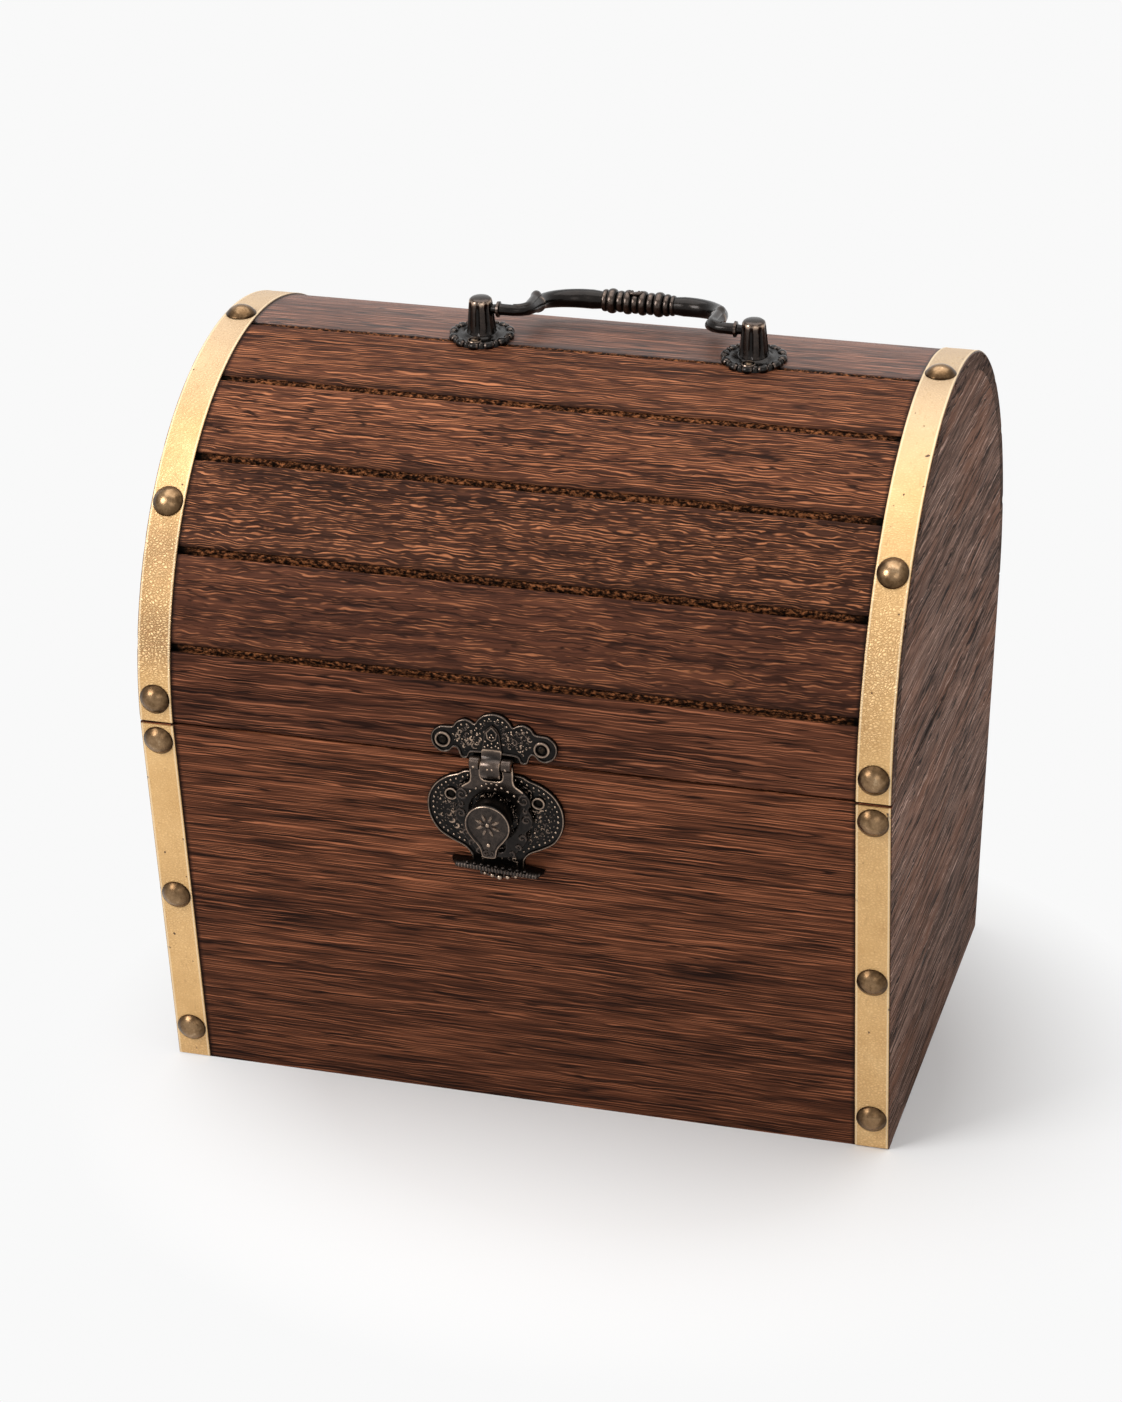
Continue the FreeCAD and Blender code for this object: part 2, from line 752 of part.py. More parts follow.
# Hinges: drawn on the front, on the left, then mirrored to the back and to the right.
knuckle_radius = "(hinge_knuckle / 2)"
knuckle_length = "(leaf_width / 3)"
leaf_start = f"({knuckle_radius} + latch_clearance)"
leaf_low_x = "(-hinge_spread - leaf_width / 2)"
outer_length = f"({knuckle_length} - side_play / 2)"
middle_low_x = f"({leaf_low_x} + {knuckle_length} + side_play / 2)"
middle_length = f"({knuckle_length} - side_play)"
outer_low_xs = (leaf_low_x, f"({leaf_low_x} + 2 * {knuckle_length} + side_play / 2)")
stop_angle = f"(lid_open_angle - 90 - {LEAN})"
base_leaf_pieces = [
    block(
        "base_leaf_plate",
        leaf_low_x,
        "-leaf_thickness",
        f"-{leaf_start} - leaf_height",
        "leaf_width",
        "leaf_thickness",
        "leaf_height",
    ),
]
for index, low_x in enumerate(outer_low_xs):
    web = block(
        f"base_leaf_web_{index}",
        low_x,
        "-leaf_thickness",
        f"-{leaf_start}",
        outer_length,
        "leaf_thickness",
        leaf_start,
    )
    barrel = rod(f"base_leaf_barrel_{index}", knuckle_radius, outer_length, low_x, "-hinge_standoff", 0, SIDEWAYS)
    stop = doc.addObject("Part::Box", f"base_leaf_stop_{index}")
    bind(stop, Length=outer_length, Width="stop_length", Height="stop_thickness")
    place(
        stop,
        low_x,
        f"-hinge_standoff - stop_length * cos({stop_angle})",
        f"-stop_length * sin({stop_angle})",
        TIPPED,
        stop_angle,
    )
    base_leaf_pieces.extend((web, barrel, stop))
hinge_hole = rod(
    "base_leaf_bore",
    "hinge_pin / 2",
    "leaf_width",
    leaf_low_x,
    "-hinge_standoff",
    0,
    SIDEWAYS,
)
hinge_screw_xs = ("(-hinge_spread - hinge_screw_spread)", "(hinge_screw_spread - hinge_spread)")
base_screw_height = f"(-{leaf_start} - leaf_height / 2)"
base_leaf_holes = [hinge_hole]
for index, x in enumerate(hinge_screw_xs):
    hole = rod(f"base_leaf_hole_{index}", SCREW_HOLE, "2 * leaf_thickness", x, 0, base_screw_height, OUTWARD)
    base_leaf_holes.append(hole)
base_leaf = cut("base_leaf_in_front", fuse("base_leaf_blank", *base_leaf_pieces), *base_leaf_holes)
on_front_wall(base_leaf)
hinge_out = f"({RIM} + hinge_standoff * cos({LEAN}))"
hinge_height = f"(base_height - hinge_standoff * sin({LEAN}))"
hinge_pin = rod(
    "hinge_pin_in_front", "hinge_pin / 2", "leaf_width", leaf_low_x, f"-{hinge_out}", hinge_height, SIDEWAYS
)

lid_leaf_edge = f"(asin(({AXIS_HEIGHT} - {hinge_height} - {leaf_start}) / lid_radius) / 1 deg)"
lid_leaf_band = wedge(
    "lid_leaf_band",
    "lid_radius + leaf_thickness",
    f"360 - {lid_leaf_edge}",
    f"leaf_height * {DEGREES_PER_MM}",
    "leaf_width",
    "box_width / 2 + hinge_spread - leaf_width / 2",
)
lid_leaf_core = rod("lid_leaf_core", "lid_radius", "box_width")
lid_leaf_curved = round_the_lid(cut("lid_leaf_curved", lid_leaf_band, lid_leaf_core))
lid_leaf_web = block(
    "lid_leaf_web",
    middle_low_x,
    f"-{RIM} - leaf_thickness * 5 / 4",
    hinge_height,
    middle_length,
    "leaf_thickness",
    f"{leaf_start} + leaf_thickness",
)
lid_leaf_barrel = rod(
    "lid_leaf_barrel", knuckle_radius, middle_length, middle_low_x, f"-{hinge_out}", hinge_height, SIDEWAYS
)
lid_leaf_bore = rod(
    "lid_leaf_bore",
    "hinge_pin / 2 + running_clearance",
    "leaf_width",
    leaf_low_x,
    f"-{hinge_out}",
    hinge_height,
    SIDEWAYS,
)
lid_screw_angle = f"(360 - {lid_leaf_edge} + leaf_height / 2 * {DEGREES_PER_MM})"
lid_leaf_holes = [lid_leaf_bore]
leaf_underside = "(lid_radius - leaf_thickness)"
for index, x in enumerate(hinge_screw_xs):
    hole = rod(
        f"lid_leaf_hole_{index}",
        SCREW_HOLE,
        "3 * leaf_thickness",
        x,
        f"-{leaf_underside} * cos({lid_screw_angle})",
        f"{AXIS_HEIGHT} + {leaf_underside} * sin({lid_screw_angle})",
        TIPPED,
        f"450 - {lid_screw_angle}",
    )
    lid_leaf_holes.append(hole)
lid_leaf_blank = fuse("lid_leaf_blank", lid_leaf_curved, lid_leaf_web, lid_leaf_barrel)
lid_leaf = cut("lid_leaf_in_front", lid_leaf_blank, *lid_leaf_holes)

for kind, front_piece in (("hinge_base_leaf", base_leaf), ("hinge_lid_leaf", lid_leaf), ("hinge_pin", hinge_pin)):
    left_piece = mirrored(f"left_{kind}", front_piece, Vector(0, 1, 0))
    keep(left_piece, f"left_{kind}")
    keep(mirrored(f"right_{kind}", left_piece, Vector(1, 0, 0)), f"right_{kind}")

base_screw_spots = []
lid_screw_spots = []
for x in hinge_screw_xs:
    for mirror_sign in ("", "-"):
        base_screw_spots.append(facing_front(f"{mirror_sign}{x}", "-leaf_thickness", base_screw_height))
        along = f"box_width / 2 - {mirror_sign}{x}"
        lid_screw_spots.append(facing_out("lid_radius + leaf_thickness", lid_screw_angle, along))
for label, spots, seat in (
    ("hinge_base_screws", base_screw_spots, on_front_wall),
    ("hinge_lid_screws", lid_screw_spots, round_the_lid),
):
    front_screws = seat(set_of(f"{label}_in_front", screw, spots))
    sub_parts.remove(front_screws)
    keep(mirrored(label, front_screws, Vector(0, 1, 0)), label)


# Handle: two posts on rosettes, and the bail that swings between them.
pivot_radius = "(post_foot_radius + (post_top_radius - post_foot_radius) * pivot_height / post_height)"
rosette_sag = "(rosette_radius ^ 2 / lid_radius)"
for side, sign, inward in (("left", "-", "1"), ("right", "", "-1")):
    post_x = f"handle_shift + {sign}handle_length / 2"
    foot = rod(
        f"{side}_rosette",
        "rosette_radius",
        f"rosette_thickness + {rosette_sag}",
        z=f"-{rosette_sag}",
    )
    post = doc.addObject("Part::Cone", f"{side}_post_cone")
    bind(post, Radius1="post_foot_radius", Radius2="post_top_radius", Height="post_height")
    lid_under = rod(f"{side}_rosette_seat", "lid_radius", "box_width", "-box_width / 2", 0, "-lid_radius", SIDEWAYS)
    pin_hole_length = "(bail_pin_depth + post_foot_radius)"
    hole_start = f"{inward} * ({pivot_radius} - bail_pin_depth - side_play)"
    hole_low_x = hole_start if inward == "1" else f"{hole_start} - {pin_hole_length}"
    pin_hole = rod(
        f"{side}_post_hole",
        "bail_pin / 2 + running_clearance",
        pin_hole_length,
        hole_low_x,
        0,
        "pivot_height",
        SIDEWAYS,
    )
    post_cuts = [lid_under, pin_hole]
    for index, reach in enumerate(("-rosette_screw_spread", "rosette_screw_spread")):
        hole = rod(f"{side}_rosette_hole_{index}", SCREW_HOLE, "3 * rosette_thickness", 0, reach, "-rosette_thickness")
        post_cuts.append(hole)
    casting = cut(f"{side}_handle_post", fuse(f"{side}_post_blank", foot, post), *post_cuts)
    keep(on_crown(casting, post_x), f"{side}_handle_post")

rosette_spots = []
for sign in ("-", "+"):
    for reach in ("-rosette_screw_spread", "rosette_screw_spread"):
        spot = (f"{sign}handle_length / 2", reach, "rosette_thickness", FACING_UP, None)
        rosette_spots.append(spot)
on_crown(set_of("handle_screws", screw, rosette_spots), "handle_shift")

rod_radius = "(bail_rod / 2)"
leg_x = "(handle_length / 2 - bail_leg_inset)"
grip_half = f"({leg_x} - bail_shoulder)"
pin_end = f"(handle_length / 2 - {pivot_radius} + bail_pin_depth)"
stub_end = f"(handle_length / 2 - {pivot_radius} - side_play)"
bail_pieces = [
    rod("bail_grip", rod_radius, f"2 * {grip_half}", f"-{grip_half}", "bail_reach", 0, SIDEWAYS),
]
for side, sign, elbow_start, shoulder_start in (("left", "-", 270, 90), ("right", "", 180, 0)):
    stub_length = f"({stub_end} - {leg_x} - bail_elbow)"
    pin_length = f"({pin_end} - {leg_x} - bail_elbow)"
    stub_x = f"({leg_x} + bail_elbow)" if side == "right" else f"-{stub_end}"
    pin_x = f"({leg_x} + bail_elbow)" if side == "right" else f"-{pin_end}"
    bail_pieces.append(rod(f"bail_{side}_stub", rod_radius, stub_length, stub_x, turned=SIDEWAYS))
    bail_pieces.append(rod(f"bail_{side}_pin", "bail_pin / 2", pin_length, pin_x, turned=SIDEWAYS))
    elbow = doc.addObject("Part::Torus", f"bail_{side}_elbow")
    bind(elbow, Radius1="bail_elbow", Radius2=rod_radius, Angle3=90)
    place(elbow, f"{sign}({leg_x} + bail_elbow)", "bail_elbow", angle=elbow_start)
    shoulder = doc.addObject("Part::Torus", f"bail_{side}_shoulder")
    bind(shoulder, Radius1="bail_shoulder", Radius2=rod_radius, Angle3=90)
    place(shoulder, f"{sign}{grip_half}", "bail_reach - bail_shoulder", angle=shoulder_start)
    leg_length = "(bail_reach - bail_shoulder - bail_elbow)"
    leg = rod(f"bail_{side}_leg", rod_radius, leg_length, f"{sign}{leg_x}", f"bail_reach - bail_shoulder", 0, OUTWARD)
    bail_pieces.extend((elbow, shoulder, leg))
for index in range(BEADS):
    bead = doc.addObject("Part::Torus", f"bail_bead_{index}")
    bind(bead, Radius1=f"{rod_radius} + bead_rise - bead_pitch / 2", Radius2="bead_pitch / 2")
    bead_x = f"({index} - {(BEADS - 1) / 2}) * bead_pitch"
    bail_pieces.append(place(bead, bead_x, "bail_reach", 0, SIDEWAYS))
bail = fuse("handle_bail", *bail_pieces)
pivot = "pivot_height"
on_crown(bail, "handle_shift", pivot)
bind(bail, **{"Placement.Rotation.Angle": "360 - bail_rest_angle"})
keep(bail, "handle_bail")


doc.recompute()
faulty = [thing.Label for thing in doc.Objects if {"Invalid", "Error"} & set(thing.State)]
if faulty:
    raise RuntimeError(f"these features failed: {faulty}")
for piece in sub_parts:
    if piece.Shape.isNull() or not piece.Shape.isValid() or not piece.Shape.Solids:
        raise RuntimeError(f"{piece.Label} has no sound shape")

os.makedirs("parts", exist_ok=True)
for piece in sub_parts:
    piece.Shape.exportStep(f"parts/{piece.Label}.step")
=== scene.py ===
"""Looks of a dome-lidded wooden money box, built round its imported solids, in metres."""
import json
import math
import random

import bmesh
import bpy
from mathutils import Matrix, Vector, noise
from mathutils.geometry import tessellate_polygon

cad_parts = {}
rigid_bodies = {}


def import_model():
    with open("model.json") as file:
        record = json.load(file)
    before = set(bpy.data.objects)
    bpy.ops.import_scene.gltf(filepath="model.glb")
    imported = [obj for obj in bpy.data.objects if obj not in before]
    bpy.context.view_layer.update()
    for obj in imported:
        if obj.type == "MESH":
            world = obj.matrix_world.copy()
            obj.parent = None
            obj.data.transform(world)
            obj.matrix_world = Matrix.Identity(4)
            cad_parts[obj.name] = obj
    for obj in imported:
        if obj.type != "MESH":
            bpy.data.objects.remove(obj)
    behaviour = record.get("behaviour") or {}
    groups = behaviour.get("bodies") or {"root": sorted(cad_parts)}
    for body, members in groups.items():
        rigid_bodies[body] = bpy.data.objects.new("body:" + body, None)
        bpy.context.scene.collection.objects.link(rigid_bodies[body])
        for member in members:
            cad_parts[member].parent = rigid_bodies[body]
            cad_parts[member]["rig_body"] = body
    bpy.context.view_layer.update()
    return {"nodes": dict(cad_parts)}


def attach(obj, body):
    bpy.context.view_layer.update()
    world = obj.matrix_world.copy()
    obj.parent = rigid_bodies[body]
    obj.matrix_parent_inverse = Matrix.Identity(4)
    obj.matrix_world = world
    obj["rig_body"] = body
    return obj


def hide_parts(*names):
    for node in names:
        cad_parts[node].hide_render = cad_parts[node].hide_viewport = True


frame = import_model()
nodes = frame["nodes"]

# Base boards: a bottom panel and two flared side boards of soft wood, butted and glued to
# upright end boards.  All of them carry a dark red-brown stain under a satin lacquer, with the
# grain running along the box on the front and back and from front to back on the ends.
BOX_WIDTH = 0.260
LID_LINE = 0.139
LID_RADIUS = 0.1055
LID_AXIS = 0.1487
RIM = math.sqrt(LID_RADIUS ** 2 - (LID_AXIS - LID_LINE) ** 2)
FLOOR_HALF_DEPTH = 0.08625
LEAN = math.atan((RIM - FLOOR_HALF_DEPTH) / LID_LINE)
BOARD_EDGE = 0.0005
SHARP_FOLD = 35.0
SAME_POINT = 0.000004
BOARD_SHIFT = (1.37, 0.731)
GRAIN_DRIFT, GRAIN_RIPPLE = 0.0055, 0.0015
GRAIN_PITCH = {
    "drift": (11.0, 60.0, 40.0),
    "ripple": (150.0, 330.0, 200.0),
    "clouds": (9.0, 70.0, 60.0),
    "rings": (4.0, 230.0, 150.0),
    "streaks": (45.0, 2100.0, 2100.0),
    "veins": (20.0, 1050.0, 1050.0),
    "blush": (14.0, 55.0, 55.0),
    "pore_rows": (40.0, 420.0, 420.0),
}
# Painted shade: the walls and ends grow darker towards the bottom.
LOW_SHADE_RISE, LOW_SHADE_DEPTH = 0.11, 0.32
# A dark line on the boards beside the straps: painted shadow of the straps, partly a glue line.
GLUE_SHADOW_START, GLUE_SHADOW_FULL, GLUE_SHADOW_END = 0.1165, 0.1177, 0.1190
GLUE_SHADOW_DARK = (0.008, 0.004, 0.003)
WOOD_RELIEF = 0.00020


def add_node(tree, kind, settings=None, **inputs):
    """A shader node with its settings, and with values or links on its named inputs."""
    node = tree.nodes.new(kind)
    for name, setting in (settings or {}).items():
        setattr(node, name, setting)
    for name, value in inputs.items():
        socket = node.inputs[name.replace("_", " ")]
        if isinstance(value, bpy.types.NodeSocket):
            tree.links.new(value, socket)
        else:
            socket.default_value = value
    return node


def sums(tree, operation, first, second=None, clamp=False):
    """The result of one arithmetic node."""
    node = tree.nodes.new("ShaderNodeMath")
    node.operation = operation
    node.use_clamp = clamp
    for socket, value in zip(node.inputs, (first, second)):
        if isinstance(value, bpy.types.NodeSocket):
            tree.links.new(value, socket)
        elif value is not None:
            socket.default_value = value
    return node.outputs[0]


def times(tree, first, second):
    """Two values multiplied."""
    return sums(tree, "MULTIPLY", first, second)


def plus(tree, first, second, clamp=False):
    """Two values added."""
    return sums(tree, "ADD", first, second, clamp)


def minus(tree, first, second):
    """One value less another."""
    return sums(tree, "SUBTRACT", first, second)


def stretch(tree, value, low, high, to_low=0.0, to_high=1.0):
    """A value mapped from one range to another, held at the ends."""
    node = add_node(tree, "ShaderNodeMapRange", None, Value=value)
    for name, number in (("From Min", low), ("From Max", high), ("To Min", to_low), ("To Max", to_high)):
        node.inputs[name].default_value = number
    return node.outputs["Result"]


def speckle(tree, vector, scale, detail, roughness=0.5, distortion=0.0):
    """Noise over a vector, as a value from 0 to 1."""
    settings = {"Scale": scale, "Detail": detail, "Roughness": roughness, "Distortion": distortion}
    node = tree.nodes.new("ShaderNodeTexNoise")
    tree.links.new(vector, node.inputs["Vector"])
    for name, number in settings.items():
        node.inputs[name].default_value = number
    return node.outputs["Fac"]


def scaled(tree, vector, factors):
    """A vector with each part multiplied."""
    node = add_node(tree, "ShaderNodeVectorMath", {"operation": "MULTIPLY"})
    tree.links.new(vector, node.inputs[0])
    node.inputs[1].default_value = factors
    return node.outputs[0]


def streaked(tree, vector, pitch, detail, roughness=0.5, distortion=0.0):
    """Noise with its own pitch along, across and into the grain."""
    return speckle(tree, scaled(tree, vector, pitch), 1.0, detail, roughness, distortion)


def moved(tree, vector, shift):
    """A vector with another added to it."""
    node = add_node(tree, "ShaderNodeVectorMath", {"operation": "ADD"})
    tree.links.new(vector, node.inputs[0])
    tree.links.new(shift, node.inputs[1])
    return node.outputs[0]


def ramp(tree, value, stops):
    """Colours along a value, each stop a place and a colour."""
    node = tree.nodes.new("ShaderNodeValToRGB")
    tree.links.new(value, node.inputs["Fac"])
    elements = node.color_ramp.elements
    while len(elements) < len(stops):
        elements.new(0.5)
    for element, (place, colour) in zip(elements, stops):
        element.position = place
        element.color = (*colour, 1.0)
    return node.outputs["Color"]


def blended(tree, factor, first, second):
    """Two colours mixed by a factor."""
    node = tree.nodes.new("ShaderNodeMix")
    node.data_type = "RGBA"
    for index, value in ((0, factor), (6, first), (7, second)):
        if isinstance(value, bpy.types.NodeSocket):
            tree.links.new(value, node.inputs[index])
        else:
            node.inputs[index].default_value = value if index == 0 else (*value, 1.0)
    return node.outputs[2]


def new_finish(name):
    """An empty material with its shader, ready to be wired."""
    material = bpy.data.materials.new(name)
    material.use_nodes = True
    tree = material.node_tree
    return material, tree, tree.nodes["Principled BSDF"]


def wire(tree, shader, colour, roughness, height=None, depth=0.0002, strength=1.0):
    """Join colour, gloss and surface height to a shader."""
    for name, value in (("Base Color", colour), ("Roughness", roughness)):
        if isinstance(value, bpy.types.NodeSocket):
            tree.links.new(value, shader.inputs[name])
        else:
            shader.inputs[name].default_value = value
    if height is not None:
        bump = add_node(tree, "ShaderNodeBump", None, Height=height, Strength=strength, Distance=depth)
        tree.links.new(bump.outputs["Normal"], shader.inputs["Normal"])


def grain_places(tree, layout, seed):
    """Where a point lies along, across and into a board's grain."""
    place = add_node(tree, "ShaderNodeTexCoord").outputs["Object"]
    parts = add_node(tree, "ShaderNodeSeparateXYZ", None, Vector=place).outputs
    along, across, into = parts["X"], parts["Z"], parts["Y"]
    if layout == "front_to_back":
        along, into = parts["Y"], parts["X"]
    elif layout == "round_lid":
        out = times(tree, parts["Y"], -1.0)
        up = minus(tree, parts["Z"], LID_AXIS)
        across = times(tree, sums(tree, "ARCTAN2", up, out), LID_RADIUS)
        into = sums(tree, "SQRT", plus(tree, times(tree, out, out), times(tree, up, up)))
    length = sums(tree, "ABSOLUTE", along)
    along = plus(tree, along, BOARD_SHIFT[0] * seed)
    shifted = plus(tree, across, BOARD_SHIFT[1] * seed)
    vector = add_node(tree, "ShaderNodeCombineXYZ", None, X=along, Y=shifted, Z=into).outputs[0]
    return vector, length, across, into


def bare_fibres(tree, vector, waved, mood, fleck, cover):
    """Where fibres that the stain missed show, each about a fleck long and wide."""
    along, across = 1.0 / fleck[0], 1.0 / fleck[1]
    sway = streaked(tree, waved, (along * 0.5, across * 0.30, across * 0.30), 1.5, 0.55)
    level = add_node(tree, "ShaderNodeSeparateXYZ", None, Vector=waved).outputs["Y"]
    phase = plus(tree, times(tree, level, across), times(tree, sway, 4.0))
    swell = minus(tree, streaked(tree, vector, (along * 1.2, across, across), 1.0), 0.5)
    edge = minus(tree, sums(tree, "PINGPONG", phase, 0.5), times(tree, swell, 0.45))
    breaks = streaked(tree, waved, (along * 1.5, across * 0.8, across * 0.8), 1.0)
    breaks = plus(tree, breaks, times(tree, mood, 0.35))
    limit = 0.68 - 0.36 * cover
    return times(tree, stretch(tree, edge, 0.19, 0.09), stretch(tree, breaks, limit - 0.06, limit + 0.08))


def pore_lines(tree, vector, waved, fleck):
    """Thin dark pores, in rows that come and go."""
    along, across = 1.0 / fleck[0], 1.0 / fleck[1]
    crossing = streaked(tree, waved, (along * 0.6, across * 0.55, across * 0.55), 1.0, 0.5, 0.2)
    line = stretch(tree, sums(tree, "ABSOLUTE", minus(tree, crossing, 0.5)), 0.042, 0.014)
    return times(tree, line, stretch(tree, streaked(tree, vector, GRAIN_PITCH["pore_rows"], 1.0), 0.40, 0.56))


def stained_wood(name, layout, seed, tones, fleck, cover, pores, wave, gloss=0.05, joint=None, blush=None):
    """Stained, lacquered wood: a streaky ground, thin dark pores, and long fibres that the stain missed."""
    material, tree, shader = new_finish(name)
    places = grain_places(tree, layout, seed)
    vector, length, across, _ = places
    drift = minus(tree, streaked(tree, vector, GRAIN_PITCH["drift"], 2.0), 0.5)
    ripple = minus(tree, streaked(tree, vector, GRAIN_PITCH["ripple"], 1.0), 0.5)
    bend = plus(tree, times(tree, drift, GRAIN_DRIFT * wave), times(tree, ripple, GRAIN_RIPPLE * wave))
    waved = moved(tree, vector, add_node(tree, "ShaderNodeCombineXYZ", None, Y=bend).outputs[0])
    clouds = minus(tree, streaked(tree, vector, GRAIN_PITCH["clouds"], 3.0, 0.6, 0.5), 0.5)
    rings = minus(tree, streaked(tree, waved, GRAIN_PITCH["rings"], 2.0, 0.55), 0.5)
    mood = plus(tree, times(tree, clouds, 0.7), times(tree, rings, 0.5))
    streaks = streaked(tree, waved, GRAIN_PITCH["streaks"], 2.0, 0.6)
    veins = streaked(tree, waved, GRAIN_PITCH["veins"], 2.0, 0.6)
    fine = plus(tree, times(tree, streaks, 0.4), times(tree, veins, 0.6))
    fine = stretch(tree, plus(tree, fine, times(tree, mood, 0.35)), 0.37, 0.63)
    colour = ramp(tree, fine, [(0.0, tones[0]), (0.45, tones[1]), (1.0, tones[2])])
    if blush is not None:
        warm = stretch(tree, streaked(tree, vector, GRAIN_PITCH["blush"], 2.0), 0.46, 0.62, 0.0, 0.6)
        colour = blended(tree, times(tree, warm, stretch(tree, fine, 0.1, 0.5)), colour, blush)
    shown = bare_fibres(tree, vector, waved, mood, fleck, cover)
    fibre = plus(tree, streaks, times(tree, mood, 0.4))
    colour = blended(tree, shown, colour, ramp(tree, fibre, [(0.36, tones[3]), (0.64, tones[4])]))
    dark = pore_lines(tree, vector, waved, fleck)
    colour = blended(tree, times(tree, dark, pores), colour, tuple(0.6 * part for part in tones[0]))
    if layout != "round_lid":
        # Painted shade: walls and ends darker towards the bottom, blending to the darkest tone.
        colour = blended(tree, stretch(tree, across, 0.0, LOW_SHADE_RISE, LOW_SHADE_DEPTH, 0.0), colour, tones[0])
    # Painted shadow, partly a glue line: the wood darkens just beside each strap.
    short_of_end = sums(tree, "LESS_THAN", length, GLUE_SHADOW_END)
    glue_shadow = times(tree, stretch(tree, length, GLUE_SHADOW_START, GLUE_SHADOW_FULL, 0.0, 0.8), short_of_end)
    colour = blended(tree, glue_shadow, colour, GLUE_SHADOW_DARK)
    roughness = stretch(tree, shown, 0.0, 1.0, 0.56, 0.42)
    height = plus(tree, times(tree, shown, 0.5), times(tree, fine, 0.5))
    height = minus(tree, height, times(tree, dark, 0.7))
    if joint is not None:
        colour, roughness, height = torn_groove(tree, places, joint, colour, roughness, height)
    shader.inputs["Specular IOR Level"].default_value = gloss
    wire(tree, shader, colour, roughness, height, WOOD_RELIEF, 0.7)
    return material


FRONT_TONES = (
    (0.015, 0.0053, 0.0032), (0.066, 0.0222, 0.0109), (0.154, 0.0514, 0.0243),
    (0.229, 0.0767, 0.0351), (0.388, 0.137, 0.0634),
)
LONG_FLECK, BOTTOM_FLECK = (0.038, 0.00092), (0.050, 0.0010)
FRONT_WOOD = stained_wood("front_stained_wood", "along_box", 1, FRONT_TONES, LONG_FLECK, 0.62, 0.9, 0.45)
BACK_WOOD = stained_wood("back_stained_wood", "along_box", 2, FRONT_TONES, LONG_FLECK, 0.60, 0.9, 0.45)
BOTTOM_WOOD = stained_wood("bottom_stained_wood", "along_box", 3, FRONT_TONES, BOTTOM_FLECK, 0.50, 0.9, 0.45)
END_TONES = (
    (0.017, 0.0088, 0.0062), (0.118, 0.0655, 0.0470), (0.265, 0.1530, 0.1130),
    (0.330, 0.1970, 0.1480), (0.540, 0.345, 0.268),
)
END_BLUSH = (0.225, 0.099, 0.057)
END_GRAIN = (END_TONES, (0.044, 0.00110), 0.48, 0.95, 1.25, 0.010, None, END_BLUSH)
LEFT_END_WOOD = stained_wood("left_end_stained_wood", "front_to_back", 4, *END_GRAIN)
RIGHT_END_WOOD = stained_wood("right_end_stained_wood", "front_to_back", 5, *END_GRAIN)


def solid_piece(name, points, faces, material, body, node, sharp=SHARP_FOLD):
    """A mesh that rides on a body and stands for one of the CAD nodes."""
    mesh = bpy.data.meshes.new(name)
    mesh.from_pydata([tuple(point) for point in points], [], faces)
    mesh.validate()
    shell = bmesh.new()
    shell.from_mesh(mesh)
    bmesh.ops.recalc_face_normals(shell, faces=shell.faces)
    shell.to_mesh(mesh)
    shell.free()
    mesh.shade_smooth()
    mesh.set_sharp_from_angle(angle=math.radians(sharp))
    mesh.materials.append(material)
    piece = bpy.data.objects.new(name, mesh)
    bpy.context.scene.collection.objects.link(piece)
    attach(piece, body)
    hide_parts(node)
    return piece


def eased(node, material, edge):
    """A node's solid with its sharp edges rounded over."""
    source = nodes[node].data
    seen, points, faces = {}, [], []
    index_of = []
    for vertex in source.vertices:
        key = tuple(round(part, 7) for part in vertex.co)
        if key not in seen:
            seen[key] = len(points)
            points.append(vertex.co.copy())
        index_of.append(seen[key])
    for polygon in source.polygons:
        corners = [index_of[index] for index in polygon.vertices]
        if len(set(corners)) == len(corners):
            faces.append(corners)
    body = nodes[node]["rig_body"]
    piece = solid_piece(f"{node}_eased", points, faces, material, body, node)
    rounding = piece.modifiers.new("eased_edges", "BEVEL")
    rounding.width = edge
    rounding.segments = 3
    rounding.limit_method = "ANGLE"
    rounding.angle_limit = math.radians(SHARP_FOLD)
    joined = piece.modifiers.new("joined_points", "WELD")
    joined.merge_threshold = SAME_POINT
    return piece


for node, material in (
    ("bottom_panel", BOTTOM_WOOD),
    ("front_wall", FRONT_WOOD),
    ("back_wall", BACK_WOOD),
    ("left_end_wall", LEFT_END_WOOD),
    ("right_end_wall", RIGHT_END_WOOD),
):
    board = eased(node, material, BOARD_EDGE)
    if node in ("front_wall", "back_wall"):
        board.data.materials.append(RIGHT_END_WOOD)
        for polygon in board.data.polygons:
            polygon.material_index = int(abs(polygon.normal.x) > 0.9)


# Lid ends: two round-topped boards like the base's ends, cut to the same flared outline so that
# their grain carries on across the lid line.
for node, material in (("lid_left_end", LEFT_END_WOOD), ("lid_right_end", RIGHT_END_WOOD)):
    eased(node, material, BOARD_EDGE)


# Lid staves: narrow boards bent round the lid's arc and glued edge to edge over the ends.  A saw kerf along
# each joint leaves a dark groove whose walls are torn, unstained wood; its darkest depths, its black ends by
# the straps and a band along each stave's lower edge are painted shade.
MM = 0.001
STAVE_THICKNESS = 0.006
KERF_WIDTH = 0.0026
FIRST_GROOVE = 10.6
STAVE_SWEEP = 18.1
LID_GAP = 0.0004
LID_EDGE = math.degrees(math.asin((LID_AXIS - LID_LINE - LID_GAP) / LID_RADIUS))
STATION = 0.0008
TEAR_DEPTH, TEAR_TURN = 0.00026, 0.13
TEAR_PITCH, SPLINTER_PITCH = (560.0, 1.1, 9.1), (90.0, 0.35, 5.3)
